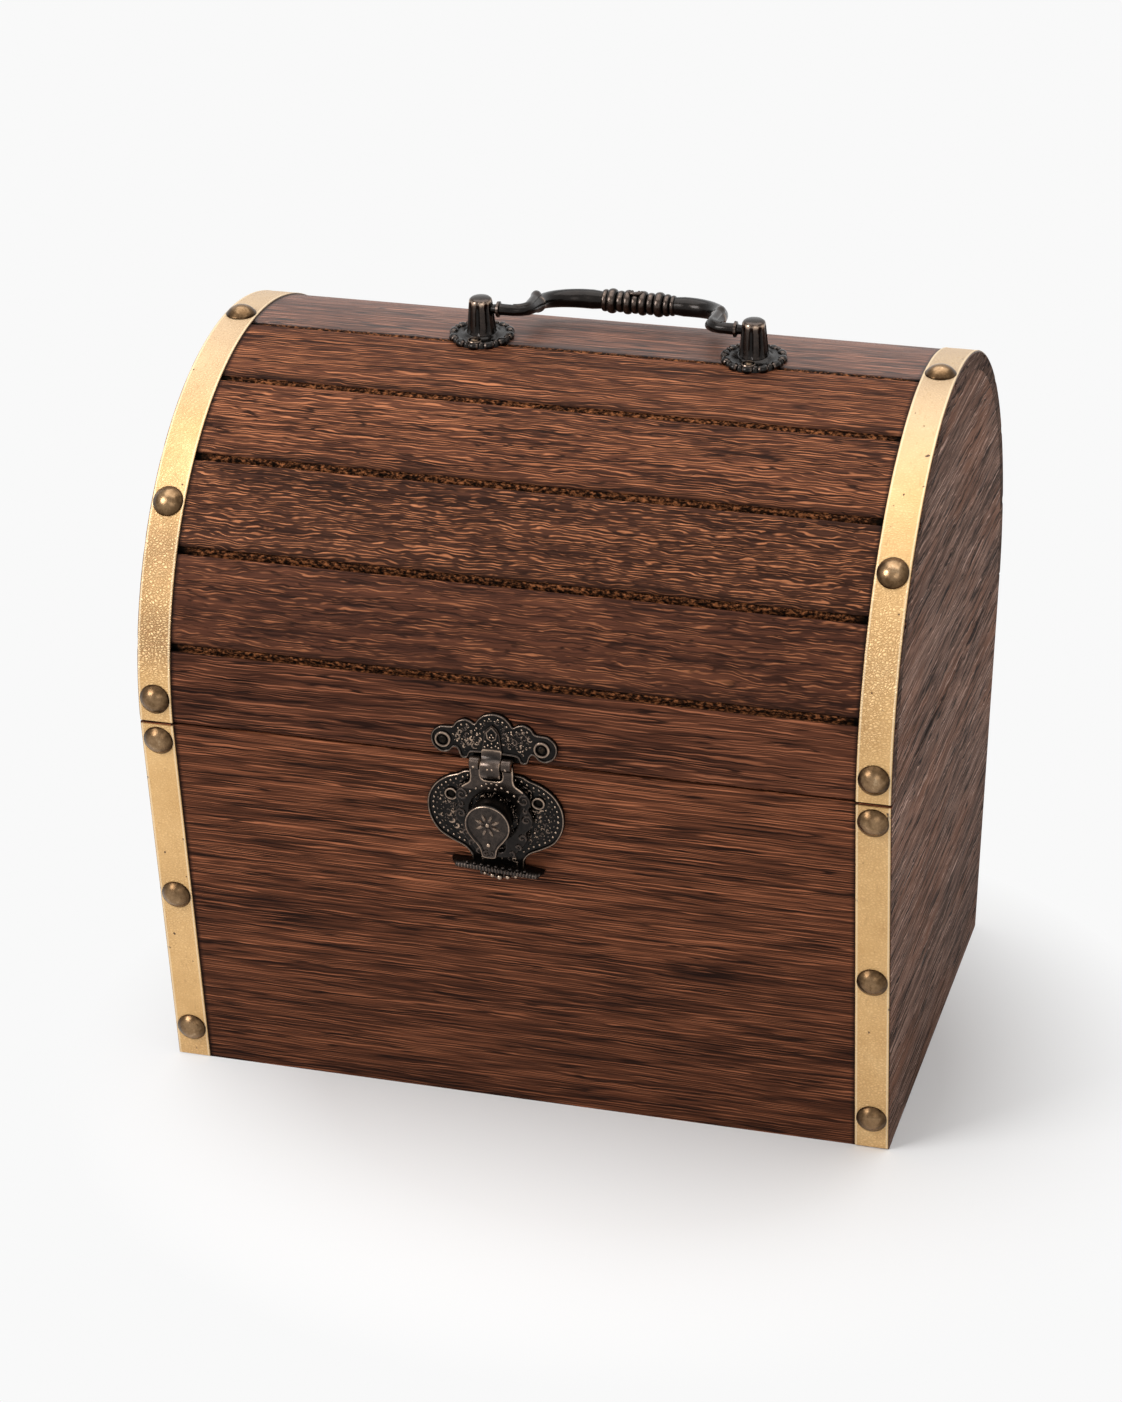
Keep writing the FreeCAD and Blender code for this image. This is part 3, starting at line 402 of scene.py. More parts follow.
# Each point of these edges has its turn in degrees, its depth in mm and how far it is torn.
LOWER_EDGE = (
    (0.0, 3.0, 0.2), (0.0, 2.0, 0.8), (0.02, 1.10, 1.0), (0.12, 0.70, 0.8), (0.28, 0.42, 0.45),
    (0.50, 0.22, 0.2), (0.80, 0.09, 0.08), (1.10, 0.02, 0.0),
)
UPPER_EDGE = ((-0.24, 0.03, 0.06), (-0.09, 0.16, 0.25), (0.0, 0.5, 0.4))
GROOVE_WALLS = (
    (0.02, 1.3, 0.3), (0.05, 2.3, 0.3), (0.18, 2.5, 0.3), (0.38, 2.1, 1.0), (0.62, 1.55, 1.6),
    (0.88, 1.25, 1.7), (1.14, 1.10, 1.5), (1.34, 1.05, 0.9),
)
GROOVE_LIP, GROOVE_FLOOR = 0.00075, 0.0031
CRUMB_PITCH = (620.0, 900.0, 900.0)
GROOVE_FADE, GROOVE_END = (0.1105, 0.1165), 0.1290
# The black of the groove is painted shade: the darkest stop of the torn wood and the groove's ends under the
# straps.
GROOVE_SHADE_BLACK = (0.0030, 0.0016, 0.0008)
TORN_WOOD_AND_SHADE = [(0.38, GROOVE_SHADE_BLACK), (0.49, (0.032, 0.0118, 0.0052)), (0.66, (0.290, 0.105, 0.040))]
# Painted shade along each stave's lower edge, beside the joint below it.
JOINT_EDGE_SHADE = (0.016, 0.0070, 0.0045)


def torn_groove(tree, places, joint, colour, roughness, height):
    """A stave's look with torn, unstained walls in its groove, painted shade deep in the groove and at its
    ends by the straps, and painted shade along its lower edge by the joint.
    """
    vector, length, across, into = places
    crumbs = streaked(tree, vector, CRUMB_PITCH, 3.0, 0.65)
    torn = ramp(tree, crumbs, TORN_WOOD_AND_SHADE)
    # Painted shade: a band along the stave's lower edge, darkest at the joint.
    edge_shade = stretch(tree, minus(tree, across, joint), 0.0004, 0.0034, 0.62, 0.0)
    colour = blended(tree, edge_shade, colour, JOINT_EDGE_SHADE)
    # Painted shadow: the groove turns black towards its ends under the straps.
    torn = blended(tree, stretch(tree, length, *GROOVE_FADE), torn, GROOVE_SHADE_BLACK)
    opened = sums(tree, "LESS_THAN", into, LID_RADIUS - GROOVE_LIP)
    opened = times(tree, opened, sums(tree, "GREATER_THAN", into, LID_RADIUS - GROOVE_FLOOR))
    opened = times(tree, opened, sums(tree, "LESS_THAN", length, GROOVE_END))
    colour = blended(tree, opened, colour, torn)
    height = plus(tree, height, times(tree, times(tree, crumbs, opened), 3.0))
    return colour, sums(tree, "MAXIMUM", roughness, opened), height


def on_arc(angle, radius, x):
    """A point round the lid, its angle taken up from the front."""
    turn = math.radians(angle)
    return Vector((x, -radius * math.cos(turn), LID_AXIS + radius * math.sin(turn)))


def skin(rows, count, base=0):
    """Four-sided faces between closed rows of points."""
    faces = []
    for row in range(rows - 1):
        low, high = base + row * count, base + (row + 1) * count
        for index in range(count):
            following = (index + 1) % count
            faces.append((low + index, low + following, high + following, high + index))
    return faces


def torn_noise(x, index, seed, pitch, lift=0.0):
    """Roughness of torn wood along a stave, for one point of its outline."""
    return noise.noise(Vector((x * pitch[0], index * pitch[1], seed * pitch[2] + lift)))


STAVE_END_TONES = (
    (0.014, 0.0072, 0.0050), (0.080, 0.0440, 0.0310), (0.150, 0.0860, 0.0630),
    (0.200, 0.1180, 0.0880), (0.330, 0.205, 0.155),
)
EVEN_STAVE = (
    (0.022, 0.0085, 0.0055), (0.056, 0.0200, 0.0115), (0.100, 0.0350, 0.0185),
    (0.190, 0.0670, 0.0310), (0.330, 0.124, 0.056),
)
DARK_STAVE = (
    (0.020, 0.0075, 0.0045), (0.042, 0.0158, 0.0090), (0.076, 0.0285, 0.0158),
    (0.260, 0.0940, 0.0410), (0.450, 0.172, 0.077),
)
PALE_STAVE = (
    (0.022, 0.0080, 0.0048), (0.058, 0.0208, 0.0115), (0.120, 0.0420, 0.0215),
    (0.260, 0.0920, 0.0400), (0.440, 0.165, 0.074),
)
# The crown board's ground is lighter than the other staves' as painted sheen.
CROWN_SHEEN_STAVE = (
    (0.020, 0.0080, 0.0052), (0.078, 0.0300, 0.0180), (0.150, 0.0580, 0.0340),
    (0.220, 0.0850, 0.0450), (0.370, 0.150, 0.080),
)
RAIL_TONES = (
    (0.016, 0.0057, 0.0036), (0.053, 0.0182, 0.0098), (0.114, 0.0390, 0.0198),
    (0.178, 0.0610, 0.0292), (0.312, 0.112, 0.054),
)
STAVE_END_GRAIN = stained_wood(
    "stave_end_grain", "front_to_back", 8, STAVE_END_TONES, (0.020, 0.0010), 0.45, 0.95, 1.2, 0.006)
LID_INSIDE = stained_wood("lid_inside_stain", "round_lid", 9, EVEN_STAVE, (0.020, 0.0010), 0.55, 0.8, 0.8)


def stave_outline(start, end, grooved):
    """A stave's outline round the lid: angle, radius and how far the wood is torn."""
    top = end - (KERF_WIDTH * math.degrees(1.0 / LID_RADIUS) if grooved else 0.0)
    inner = LID_RADIUS - STAVE_THICKNESS
    outline = [(start, inner, 0.0)]
    outline += [(start + rise, LID_RADIUS - drop * MM, tear) for rise, drop, tear in LOWER_EDGE]
    face_steps = max(6, round((top - start) / 1.5))
    face_start, face_end = start + 1.40, top - 0.50
    for step in range(face_steps + 1):
        outline.append((face_start + (face_end - face_start) * step / face_steps, LID_RADIUS, 0.0))
    for rise, drop, tear in UPPER_EDGE + (GROOVE_WALLS if grooved else ()):
        outline.append((top + rise, LID_RADIUS - drop * MM, tear))
    inner_steps = max(4, round((end - start) / 3.0))
    outline += [(end + (start - end) * step / inner_steps, inner, 0.0) for step in range(inner_steps)]
    return outline


def stave(node, material, start, end, grooved, seed):
    """A curved board with eased edges, torn along its lower edge and along its groove."""
    outline = stave_outline(start, end, grooved)
    stations, count = round(BOX_WIDTH / STATION), len(outline)
    points = []
    for station in range(stations + 1):
        x = -BOX_WIDTH / 2 + BOX_WIDTH * station / stations
        at_end = station in (0, stations)
        for index, (angle, radius, tear) in enumerate(outline):
            if tear and not at_end:
                coarse = torn_noise(x, index, seed, SPLINTER_PITCH)
                radius += TEAR_DEPTH * tear * (torn_noise(x, index, seed, TEAR_PITCH) + 0.5 * coarse)
                angle += TEAR_TURN * tear * (torn_noise(x, index, seed, TEAR_PITCH, 40.0) + 0.8 * coarse)
            points.append(on_arc(angle, min(radius, LID_RADIUS), x))
    faces = skin(stations + 1, count)
    faces.append(tuple(range(count))[::-1])
    faces.append(tuple(range(stations * count, (stations + 1) * count)))
    board = solid_piece(f"{node}_board", points, faces, material, "lid", node, 50.0)
    board.data.materials.append(STAVE_END_GRAIN)
    board.data.materials.append(LID_INSIDE)
    for polygon in board.data.polygons:
        middle = polygon.center
        if abs(middle.x) > BOX_WIDTH / 2 - 0.0001:
            polygon.material_index = 1
        elif math.hypot(middle.y, middle.z - LID_AXIS) < LID_RADIUS - STAVE_THICKNESS + 0.0004:
            polygon.material_index = 2


STAVE_LOOKS = {
    "lid_front_rail": (RAIL_TONES, (0.030, 0.0010), 0.56, 0.9, 0.6),
    "lid_stave_1": (EVEN_STAVE, (0.0110, 0.0010), 0.50, 0.7, 1.0),
    "lid_stave_2": (DARK_STAVE, (0.0085, 0.00098), 0.63, 0.6, 1.0),
    "lid_stave_3": (PALE_STAVE, (0.0130, 0.0010), 0.80, 0.9, 0.9),
    "lid_stave_4": (PALE_STAVE, (0.0180, 0.0010), 0.74, 0.65, 0.8),
    "lid_crown_board": (CROWN_SHEEN_STAVE, (0.0250, 0.0012), 0.60, 0.95, 0.6, 0.50),
    "lid_stave_5": (PALE_STAVE, (0.0130, 0.0010), 0.50, 0.8, 0.9),
    "lid_stave_6": (DARK_STAVE, (0.0085, 0.0011), 0.54, 0.6, 1.0),
    "lid_stave_7": (PALE_STAVE, (0.0130, 0.0010), 0.50, 0.8, 0.9),
    "lid_back_rail": (RAIL_TONES, (0.030, 0.0010), 0.54, 0.9, 0.6),
}
front_joints = [FIRST_GROOVE + STAVE_SWEEP * step for step in range(5)]
back_joints = [180.0 - FIRST_GROOVE - STAVE_SWEEP * step for step in (3, 2, 1, 0)]
lid_joints = [-LID_EDGE, *front_joints, *back_joints, 180.0 + LID_EDGE]
for index, (node, look) in enumerate(STAVE_LOOKS.items()):
    joint = math.radians(lid_joints[index]) * LID_RADIUS if index else -1.0
    material = stained_wood(f"{node}_stain", "round_lid", 10 + index, *look, joint=joint)
    stave(node, material, lid_joints[index], lid_joints[index + 1], node != "lid_back_rail", index)


# Straps: bands of gold-finished leatherette, glued up each corner and over both ends of the lid,
# with a rolled edge and a grain that is pressed deeper in some stretches than in others.
STRAP_WIDTH = 0.0118
STRAP_THICKNESS = 0.0006
STRAP_MIDDLE = 0.1239
STRAP_TRIM = 0.0005
STRAP_STEPS, LID_STRAP_STEPS = 70, 190
STRAP_WANDER = 0.00008
STRAP_GOLDS = [(0.3, (0.64, 0.380, 0.142)), (0.55, (0.73, 0.450, 0.182)), (0.75, (0.80, 0.525, 0.234))]
WRINKLE_SHADE, WRINKLE_SHINE = (0.27, 0.130, 0.042), (0.92, 0.69, 0.39)
# Painted light on the straps: a grey shade and sheen towards the crown, a highlight on the rolled rim and a
# shadow along the edge.
CROWN_SHADE_AND_SHEEN, LINE_SHADE, PIT_SHADE = (0.47, 0.375, 0.275), (0.40, 0.22, 0.08), (0.10, 0.050, 0.020)
RIM_SHINE, EDGE_SHADOW = (0.84, 0.66, 0.42), (0.075, 0.036, 0.015)
WRINKLE_PITCH, WRINKLE_PULL = (820.0, 1150.0, 1150.0), 0.0035
BENT_FROM, BENT_TO, CROWN_SHADE_FROM = (0.148, 0.166), (0.218, 0.200), (0.232, 0.262)
RIM_FROM, RIM_TO, EDGE_FROM = (0.0049, 0.0052), (0.0057, 0.0055), (0.00575, 0.00585)
SIDES = (("left", -1.0), ("right", 1.0))


def gold_leatherette():
    """Pale gold skin over pressed grain, wrinkled in stretches, with painted shade and grey sheen towards the
    crown, a painted highlight on the rim and painted shadow along the edge.
    """
    material, tree, shader = new_finish("gold_leatherette")
    place = add_node(tree, "ShaderNodeTexCoord").outputs["Object"]
    parts = add_node(tree, "ShaderNodeSeparateXYZ", None, Vector=place).outputs
    up = parts["Z"]
    bent = times(tree, stretch(tree, up, *BENT_FROM), stretch(tree, up, *BENT_TO, 0.40, 1.0))
    patches = stretch(tree, speckle(tree, place, 21.0, 1.0), 0.36, 0.60, 0.45, 1.0)
    patches = times(tree, patches, sums(tree, "MAXIMUM", bent, 0.36))
    pull = add_node(tree, "ShaderNodeTexNoise", None, Vector=place, Scale=150.0, Detail=1.0).outputs["Color"]
    pulled = moved(tree, place, scaled(tree, pull, (WRINKLE_PULL,) * 3))
    pressed = scaled(tree, pulled, WRINKLE_PITCH)
    cells = add_node(tree, "ShaderNodeTexVoronoi", {"feature": "DISTANCE_TO_EDGE"}, Vector=pressed, Scale=1.0)
    wrinkles = stretch(tree, cells.outputs["Distance"], 0.03, 0.40)
    fine = speckle(tree, place, 1500.0, 2.0, 0.6)
    lines = streaked(tree, place, (900.0, 300.0, 300.0), 2.0, 0.6)
    pits = stretch(tree, speckle(tree, place, 330.0, 1.0), 0.745, 0.77)
    colour = ramp(tree, speckle(tree, place, 45.0, 3.0, 0.6), STRAP_GOLDS)
    hollow = times(tree, patches, minus(tree, 1.0, wrinkles))
    colour = blended(tree, times(tree, hollow, 0.95), colour, WRINKLE_SHADE)
    colour = blended(tree, times(tree, times(tree, patches, wrinkles), 0.45), colour, WRINKLE_SHINE)
    # Painted shade and grey sheen on the straps towards the crown.
    colour = blended(tree, stretch(tree, up, *CROWN_SHADE_FROM, 0.0, 0.75), colour, CROWN_SHADE_AND_SHEEN)
    colour = blended(tree, times(tree, stretch(tree, lines, 0.60, 0.72), 0.35), colour, LINE_SHADE)
    colour = blended(tree, pits, colour, PIT_SHADE)
    aside = sums(tree, "ABSOLUTE", minus(tree, sums(tree, "ABSOLUTE", parts["X"]), STRAP_MIDDLE))
    rim = times(tree, stretch(tree, aside, *RIM_FROM), stretch(tree, aside, *RIM_TO))
    # Painted highlight along the rolled rim.
    colour = blended(tree, times(tree, rim, 0.6), colour, RIM_SHINE)
    # Painted shadow along the strap's edge.
    colour = blended(tree, stretch(tree, aside, *EDGE_FROM), colour, EDGE_SHADOW)
    height = times(tree, wrinkles, plus(tree, times(tree, patches, 0.95), 0.06))
    height = plus(tree, height, times(tree, plus(tree, fine, lines), 0.12))
    height = minus(tree, height, pits)
    roughness = stretch(tree, fine, 0.3, 0.7, 0.36, 0.48)
    shader.inputs["Metallic"].default_value = 0.26
    shader.inputs["Specular IOR Level"].default_value = 0.5
    wire(tree, shader, colour, roughness, height, 0.00030, 0.9)
    return material


GOLD_STRAP = gold_leatherette()
STRAP_SECTION = (
    (-1.0, 0.0), (-1.0, 0.45), (-0.985, 0.78), (-0.955, 0.97), (-0.92, 1.06), (-0.86, 1.0), (-0.78, 0.93),
    (-0.4, 0.98), (0.0, 1.0), (0.4, 0.98), (0.78, 0.93), (0.86, 1.0), (0.92, 1.06), (0.955, 0.97),
    (0.985, 0.78), (1.0, 0.45), (1.0, 0.0),
)


def strap(node, path, middle_x, body, seed):
    """A thin band along a path of points and outward directions."""
    points = []
    count = len(STRAP_SECTION)
    for step, (point, outward) in enumerate(path):
        for index, (across, rise) in enumerate(STRAP_SECTION):
            wander = STRAP_WANDER * noise.noise(Vector((step * 0.21, index // 6, seed * 3.7)))
            x = middle_x + across * STRAP_WIDTH / 2 + wander
            points.append(Vector((x, point.y, point.z)) + outward * (rise * STRAP_THICKNESS))
    faces = [(first, fourth, third, second) for first, second, third, fourth in skin(len(path), count)]
    faces.append(tuple(range(count)))
    faces.append(tuple(range((len(path) - 1) * count, len(path) * count))[::-1])
    solid_piece(f"{node}_band", points, faces, GOLD_STRAP, body, node, 40.0)


wall_up = Vector((0.0, -math.sin(LEAN), math.cos(LEAN)))
wall_out = Vector((0.0, -math.cos(LEAN), -math.sin(LEAN)))
wall_run = math.hypot(RIM - FLOOR_HALF_DEPTH, LID_LINE)


def wall_point(height):
    """A point on the front wall's face, a height along the slope from the lid line."""
    return Vector((0.0, -RIM, LID_LINE)) + wall_up * height


def turned_to_back(spots):
    """The same points and directions on the back of the box."""
    return [tuple(Vector((vector.x, -vector.y, vector.z)) for vector in spot) for spot in spots]


corner_path = []
for step in range(STRAP_STEPS + 1):
    height = -wall_run + STRAP_TRIM + (wall_run - 2 * STRAP_TRIM) * step / STRAP_STEPS
    corner_path.append((wall_point(height), wall_out))
strap_edge = LID_EDGE - math.degrees(STRAP_TRIM / LID_RADIUS)
lid_path = []
for step in range(LID_STRAP_STEPS + 1):
    angle = -strap_edge + (180.0 + 2 * strap_edge) * step / LID_STRAP_STEPS
    point = on_arc(angle, LID_RADIUS, 0.0)
    lid_path.append((point, (point - Vector((0.0, 0.0, LID_AXIS))).normalized()))
for seed, (side, sign) in enumerate(SIDES):
    strap(f"front_{side}_strap", corner_path, sign * STRAP_MIDDLE, "base", seed)
    strap(f"back_{side}_strap", turned_to_back(corner_path), sign * STRAP_MIDDLE, "base", seed + 2)
    strap(f"lid_{side}_strap", lid_path, sign * STRAP_MIDDLE, "lid", seed + 4)


# Tacks: stamped brass domes on a nail, driven through the straps.  Age has left them brown and mottled,
# brightest on the crown of the dome, and the dark ring where the head meets the strap is painted shade.
TACK_RADIUS = 0.0053
TACK_RISE = 0.0032
TACK_RIM = 0.0003
TACK_SHANK = 0.0009
TACK_LENGTH = 0.0055
TACK_SIDES = 40
TACK_DENT = 0.00006
TACK_TONES = ((0.028, 0.015, 0.007), (0.120, 0.070, 0.034), (0.29, 0.182, 0.097), (0.64, 0.47, 0.30))
WEAR_STOPS = (0.05, 0.35, 0.68, 1.0)


def aged_metal(name, colours, roughness, grain, metallic=1.0, mottle=0.9, lacquer=0.0):
    """Metal mottled by age, lighter or darker by a drifting stain, worn where the mesh says so."""
    material, tree, shader = new_finish(name)
    place = add_node(tree, "ShaderNodeTexCoord").outputs["Object"]
    stain = speckle(tree, place, grain * 0.28, 4.0, 0.65, 0.5)
    pitting = speckle(tree, place, grain * 1.7, 3.0, 0.6)
    wear = add_node(tree, "ShaderNodeAttribute", {"attribute_name": "wear"}).outputs["Fac"]
    rubbed = plus(tree, wear, times(tree, minus(tree, stain, 0.5), mottle), True)
    rubbed = plus(tree, rubbed, times(tree, minus(tree, pitting, 0.5), 0.35), True)
    colour = ramp(tree, rubbed, list(zip(WEAR_STOPS, colours)))
    gloss = stretch(tree, rubbed, 0.0, 1.0, *roughness)
    shader.inputs["Metallic"].default_value = metallic
    shader.inputs["Coat Weight"].default_value = lacquer
    shader.inputs["Coat Roughness"].default_value = 0.12
    wire(tree, shader, colour, gloss, plus(tree, pitting, stain), 0.00006, 0.5)
    return material


class Casting:
    """Points, faces and wear gathered from several forms before they become one mesh."""

    def __init__(self):
        self.points, self.faces, self.wear = [], [], []

    def rings(self, rings, wears, capped=True):
        """Skin a run of closed rings that have the same number of points."""
        base, count = len(self.points), len(rings[0])
        for ring, wear in zip(rings, wears):
            self.points.extend(ring)
            self.wear.extend(wear if isinstance(wear, list) else [wear] * count)
        self.faces.extend(skin(len(rings), count, base))
        if capped:
            last = base + (len(rings) - 1) * count
            self.faces.append(tuple(range(base, base + count))[::-1])
            self.faces.append(tuple(range(last, last + count)))

    def lathe(self, centre, outward, profile, sides, wears):
        """Turn a profile of radius and height round a line."""
        turn = Vector((0.0, 0.0, 1.0)).rotation_difference(outward).to_matrix()
        rings = []
        for radius, height in profile:
            ring = []
            for side in range(sides):
                angle = 2 * math.pi * side / sides
                local = Vector((radius * math.cos(angle), radius * math.sin(angle), height))
                ring.append(centre + turn @ local)
            rings.append(ring)
        self.rings(rings, wears)

    def bead(self, centre, outward, radius, rise, wear=0.9, sides=10):
        """A small round boss."""
        profile = [(radius * math.cos(turn), rise * math.sin(turn)) for turn in (0.0, 0.5, 0.95, 1.3, 1.5)]
        self.lathe(centre, outward, profile, sides, [wear * step for step in (0.3, 0.7, 0.95, 1.0, 1.0)])

    def tube(self, path, radii, wears, up, sides):
        """A round bar of changing thickness along a path."""
        rings = []
        side = None
        for index, point in enumerate(path):
            ahead = path[min(index + 1, len(path) - 1)] - path[max(index - 1, 0)]
            ahead.normalize()
            if side is None:
                side = ahead.cross(up).normalized()
            side = (side - ahead * side.dot(ahead)).normalized()
            other = ahead.cross(side)
            ring = []
            for step in range(sides):
                angle = 2 * math.pi * step / sides
                ring.append(point + (side * math.cos(angle) + other * math.sin(angle)) * radii[index])
            rings.append(ring)
        self.rings(rings, wears)

    def piece(self, name, seat, material, body, node, sharp=40.0):
        """Seat the gathered forms in the box's frame as one mesh with its wear."""
        seated = [seat @ point for point in self.points]
        made = solid_piece(name, seated, self.faces, material, body, node, sharp)
        layer = made.data.attributes.new("wear", "FLOAT", "POINT")
        layer.data.foreach_set("value", self.wear)


HERE = Matrix.Identity(4)
UPWARD = Vector((0.0, 0.0, 1.0))
TACK_BRASS = aged_metal("mottled_tack_brass", TACK_TONES, (0.34, 0.20), 700.0)


def tacks(node, body, spots):
    """Domed heads with a thin rolled rim, each on its shank."""
    heads = Casting()
    dome = (TACK_RADIUS ** 2 + TACK_RISE ** 2) / (2 * TACK_RISE)
    for number, (point, outward) in enumerate(spots):
        profile = [(TACK_SHANK, -TACK_LENGTH), (TACK_SHANK, 0.0), (TACK_RADIUS, 0.0), (TACK_RADIUS, TACK_RIM)]
        # The low wear at the rim's foot paints shade where the head meets the strap.
        wears = [0.1, 0.1, 0.02, 0.10]
        for step in range(1, 12):
            radius = TACK_RADIUS * (1.0 - step / 11.6)
            height = math.sqrt(dome ** 2 - radius ** 2) - dome + TACK_RISE
            dent = TACK_DENT * noise.noise(Vector((number * 3.1, step * 0.8, point.x * 40.0)))
            profile.append((radius, max(height + dent, TACK_RIM)))
            wears.append(0.18 + 0.44 * min(1.0, step / 7))
        heads.lathe(point, outward, profile, TACK_SIDES, wears)
    heads.piece(f"{node}_domes", HERE, TACK_BRASS, body, node, 60.0)


CORNER_TACKS = (0.0126 - wall_run, 0.070 - wall_run, -0.0066)
LOW_TACK = math.degrees(0.0089 / LID_RADIUS) - LID_EDGE
HIGH_TACK, CROWN_TACK = 36.7, 85.0
LID_TACKS = (LOW_TACK, HIGH_TACK, CROWN_TACK, 180.0 - HIGH_TACK, 180.0 - LOW_TACK)
for side, sign in SIDES:
    across = Vector((sign * STRAP_MIDDLE, 0.0, 0.0))
    front_spots = []
    for height in CORNER_TACKS:
        front_spots.append((wall_point(height) + across + wall_out * STRAP_THICKNESS, wall_out))
    tacks(f"front_{side}_tacks", "base", front_spots)
    tacks(f"back_{side}_tacks", "base", turned_to_back(front_spots))
    lid_spots = []
    for angle in LID_TACKS:
        point = on_arc(angle, LID_RADIUS + STRAP_THICKNESS, sign * STRAP_MIDDLE)
        lid_spots.append((point, (on_arc(angle, 1.0, 0.0) - Vector((0.0, 0.0, LID_AXIS))).normalized()))
    tacks(f"lid_{side}_tacks", "lid", lid_spots)


# Latch, lower plate: a cast zinc plate in a dark bronze finish, pinned below the lid line.  Its
# rim and beads are rubbed to copper, its field is full of small scrolls, and a ribbed ledge stands
# out along its foot.
LATCH_X = -0.0045
BRONZE_TONES = (
    (0.0045, 0.0038, 0.0034), (0.0200, 0.0158, 0.0135), (0.084, 0.0610, 0.0490), (0.50, 0.36, 0.26),
)
ANTIQUE_BRONZE = aged_metal("antique_bronze", BRONZE_TONES, (0.34, 0.20), 1500.0, 0.94, 0.5, 0.12)
WALL_SEAT = Matrix.Translation((LATCH_X, -RIM, LID_LINE)) @ Matrix.Rotation(LEAN, 4, "X")
FRONTWARD = Vector((0.0, -1.0, 0.0))
SIDEWAYS = Vector((1.0, 0.0, 0.0))
SCROLL_SHARE = 0.58
scatter = random.Random(11)


def smooth_outline(half, gap=0.0006):
    """A closed outline through points given for the right half, from top to bottom, in mm."""
    full = list(half) + [(-x, s) for x, s in reversed(half) if abs(x) > 1e-6]
    count = len(full)
    outline = []
    for index in range(count):
        before, here, after, beyond = (Vector(full[(index + step) % count]) for step in (-1, 0, 1, 2))
        steps = max(2, round((after - here).length * MM / gap))
        for step in range(steps):
            t = step / steps
            bend = (2 * before - 5 * here + 4 * after - beyond) * t ** 2
            twist = (3 * here - before - 3 * after + beyond) * t ** 3
            outline.append((2 * here + (after - before) * t + bend + twist) * (MM / 2))
    return outline


def drawn_in(outline, distance):
    """An outline moved inwards by a distance, with the loops at tight corners closed up."""
    count = len(outline)
    inset = []
    for index, spot in enumerate(outline):
        ahead = (outline[(index + 1) % count] - outline[index - 1]).normalized()
        inset.append(spot + Vector((ahead.y, -ahead.x)) * distance)
    for index in list(range(count)) * 6:
        following = (index + 1) % count
        step = outline[following] - outline[index]
        if (inset[following] - inset[index]).dot(step) <= 0.0:
            middle = (inset[index] + inset[following]) / 2
            inset[index], inset[following] = middle - step * 0.03, middle + step * 0.03
    return inset


def ring_at(outline, out):
    """An outline stood up as a ring of points at a distance out from its seat."""
    return [Vector((spot.x, -out, spot.y)) for spot in outline]


def inside(outline, spot):
    """Whether a spot lies within an outline."""
    within = False
    for index, here in enumerate(outline):
        there = outline[index - 1]
        if (here.y > spot.y) != (there.y > spot.y):
            if spot.x < (there.x - here.x) * (spot.y - here.y) / (there.y - here.y) + here.x:
                within = not within
    return within


def stepped(form, outline, steps):
    """A casting whose outline steps in and out, each step an inset, a height and a wear."""
    rings = [ring_at(drawn_in(outline, inset), out) for inset, out, _ in steps]
    form.rings(rings, [wear for _, _, wear in steps])


def rimmed_plate(form, outline, back, front, rim, recess, shine, field):
    """A flat casting with a rounded rim round a sunk field."""
    stepped(form, outline, [
        (0.0, back, 0.05),
        (0.0, front - 0.0005, 0.12),
        (0.00010, front - 0.00018, 0.40 * shine),
        (0.00032, front, 0.92 * shine),
        (rim * 0.62, front - 0.00004, 0.55 * shine),
        (rim * 0.86, front - 0.0002, 0.22),
        (rim, front - recess, field),
    ])


def bead_row(form, outline, inset, spacing, radius, out, keep):
    """Beads evenly along those parts of a drawn-in outline that are kept."""
    track = drawn_in(outline, inset)
    run = 0.0
    for index, spot in enumerate(track):
        run += (spot - track[index - 1]).length
        if run >= spacing:
            run = 0.0
            if keep(spot):
                form.bead(Vector((spot.x, -out, spot.y)), FRONTWARD, radius, radius * 0.9)


def beads(form, spots, out, radius, rise):
    """Beads at given spots of a face."""
    for x, s in spots:
        form.bead(Vector((x, -out, s)), FRONTWARD, radius, rise)


def scroll(form, centre, size, start, turns, out, hand=1.0, thickness=0.0004, wear=0.55):
    """A small spiral scroll in relief."""
    path, radii = [], []
    steps = max(10, round(22 * turns))
    for step in range(steps + 1):
        t = step / steps
        angle = math.radians(start) + hand * turns * 2 * math.pi * t
        reach = size * (1.0 - 0.78 * t)
        path.append(Vector((centre[0] + reach * math.cos(angle), -out, centre[1] + reach * math.sin(angle))))
        radii.append(thickness * (0.6 + 0.5 * math.sin(math.pi * min(1.0, t * 1.15))))
    form.tube(path, radii, [wear] * len(path), FRONTWARD, 8)


def filigree(form, field, out, count, avoid, size):
    """Curled strokes and seeds strewn over a field, clear of each other and of what stands on it."""
    taken = list(avoid)
    low_x, high_x = min(spot.x for spot in field), max(spot.x for spot in field)
    low_s, high_s = min(spot.y for spot in field), max(spot.y for spot in field)
    for _ in range(count):
        spot = Vector((scatter.uniform(low_x, high_x), scatter.uniform(low_s, high_s)))
        reach = scatter.uniform(0.00055, 0.00125) * size
        turn = scatter.uniform(0, 360)
        bend = scatter.uniform(0.35, 0.85)
        hand = scatter.choice((-1.0, 1.0))
        seed_size = scatter.uniform(0.00028, 0.00044) * size
        kind = scatter.random()
        crowded = any((spot - Vector(other)).length < reach + room for *other, room in taken)
        if crowded or not inside(field, spot):
            continue
        taken.append((spot.x, spot.y, reach * 0.75))
        if kind < SCROLL_SHARE:
            thickness = 0.00024 * size + 0.00007
            scroll(form, spot, reach, turn, bend, out, hand, thickness, scatter.uniform(0.5, 0.9))
        else:
            seed = Vector((spot.x, -out, spot.y))
            form.bead(seed, FRONTWARD, seed_size, seed_size, scatter.uniform(0.6, 1.0), 8)


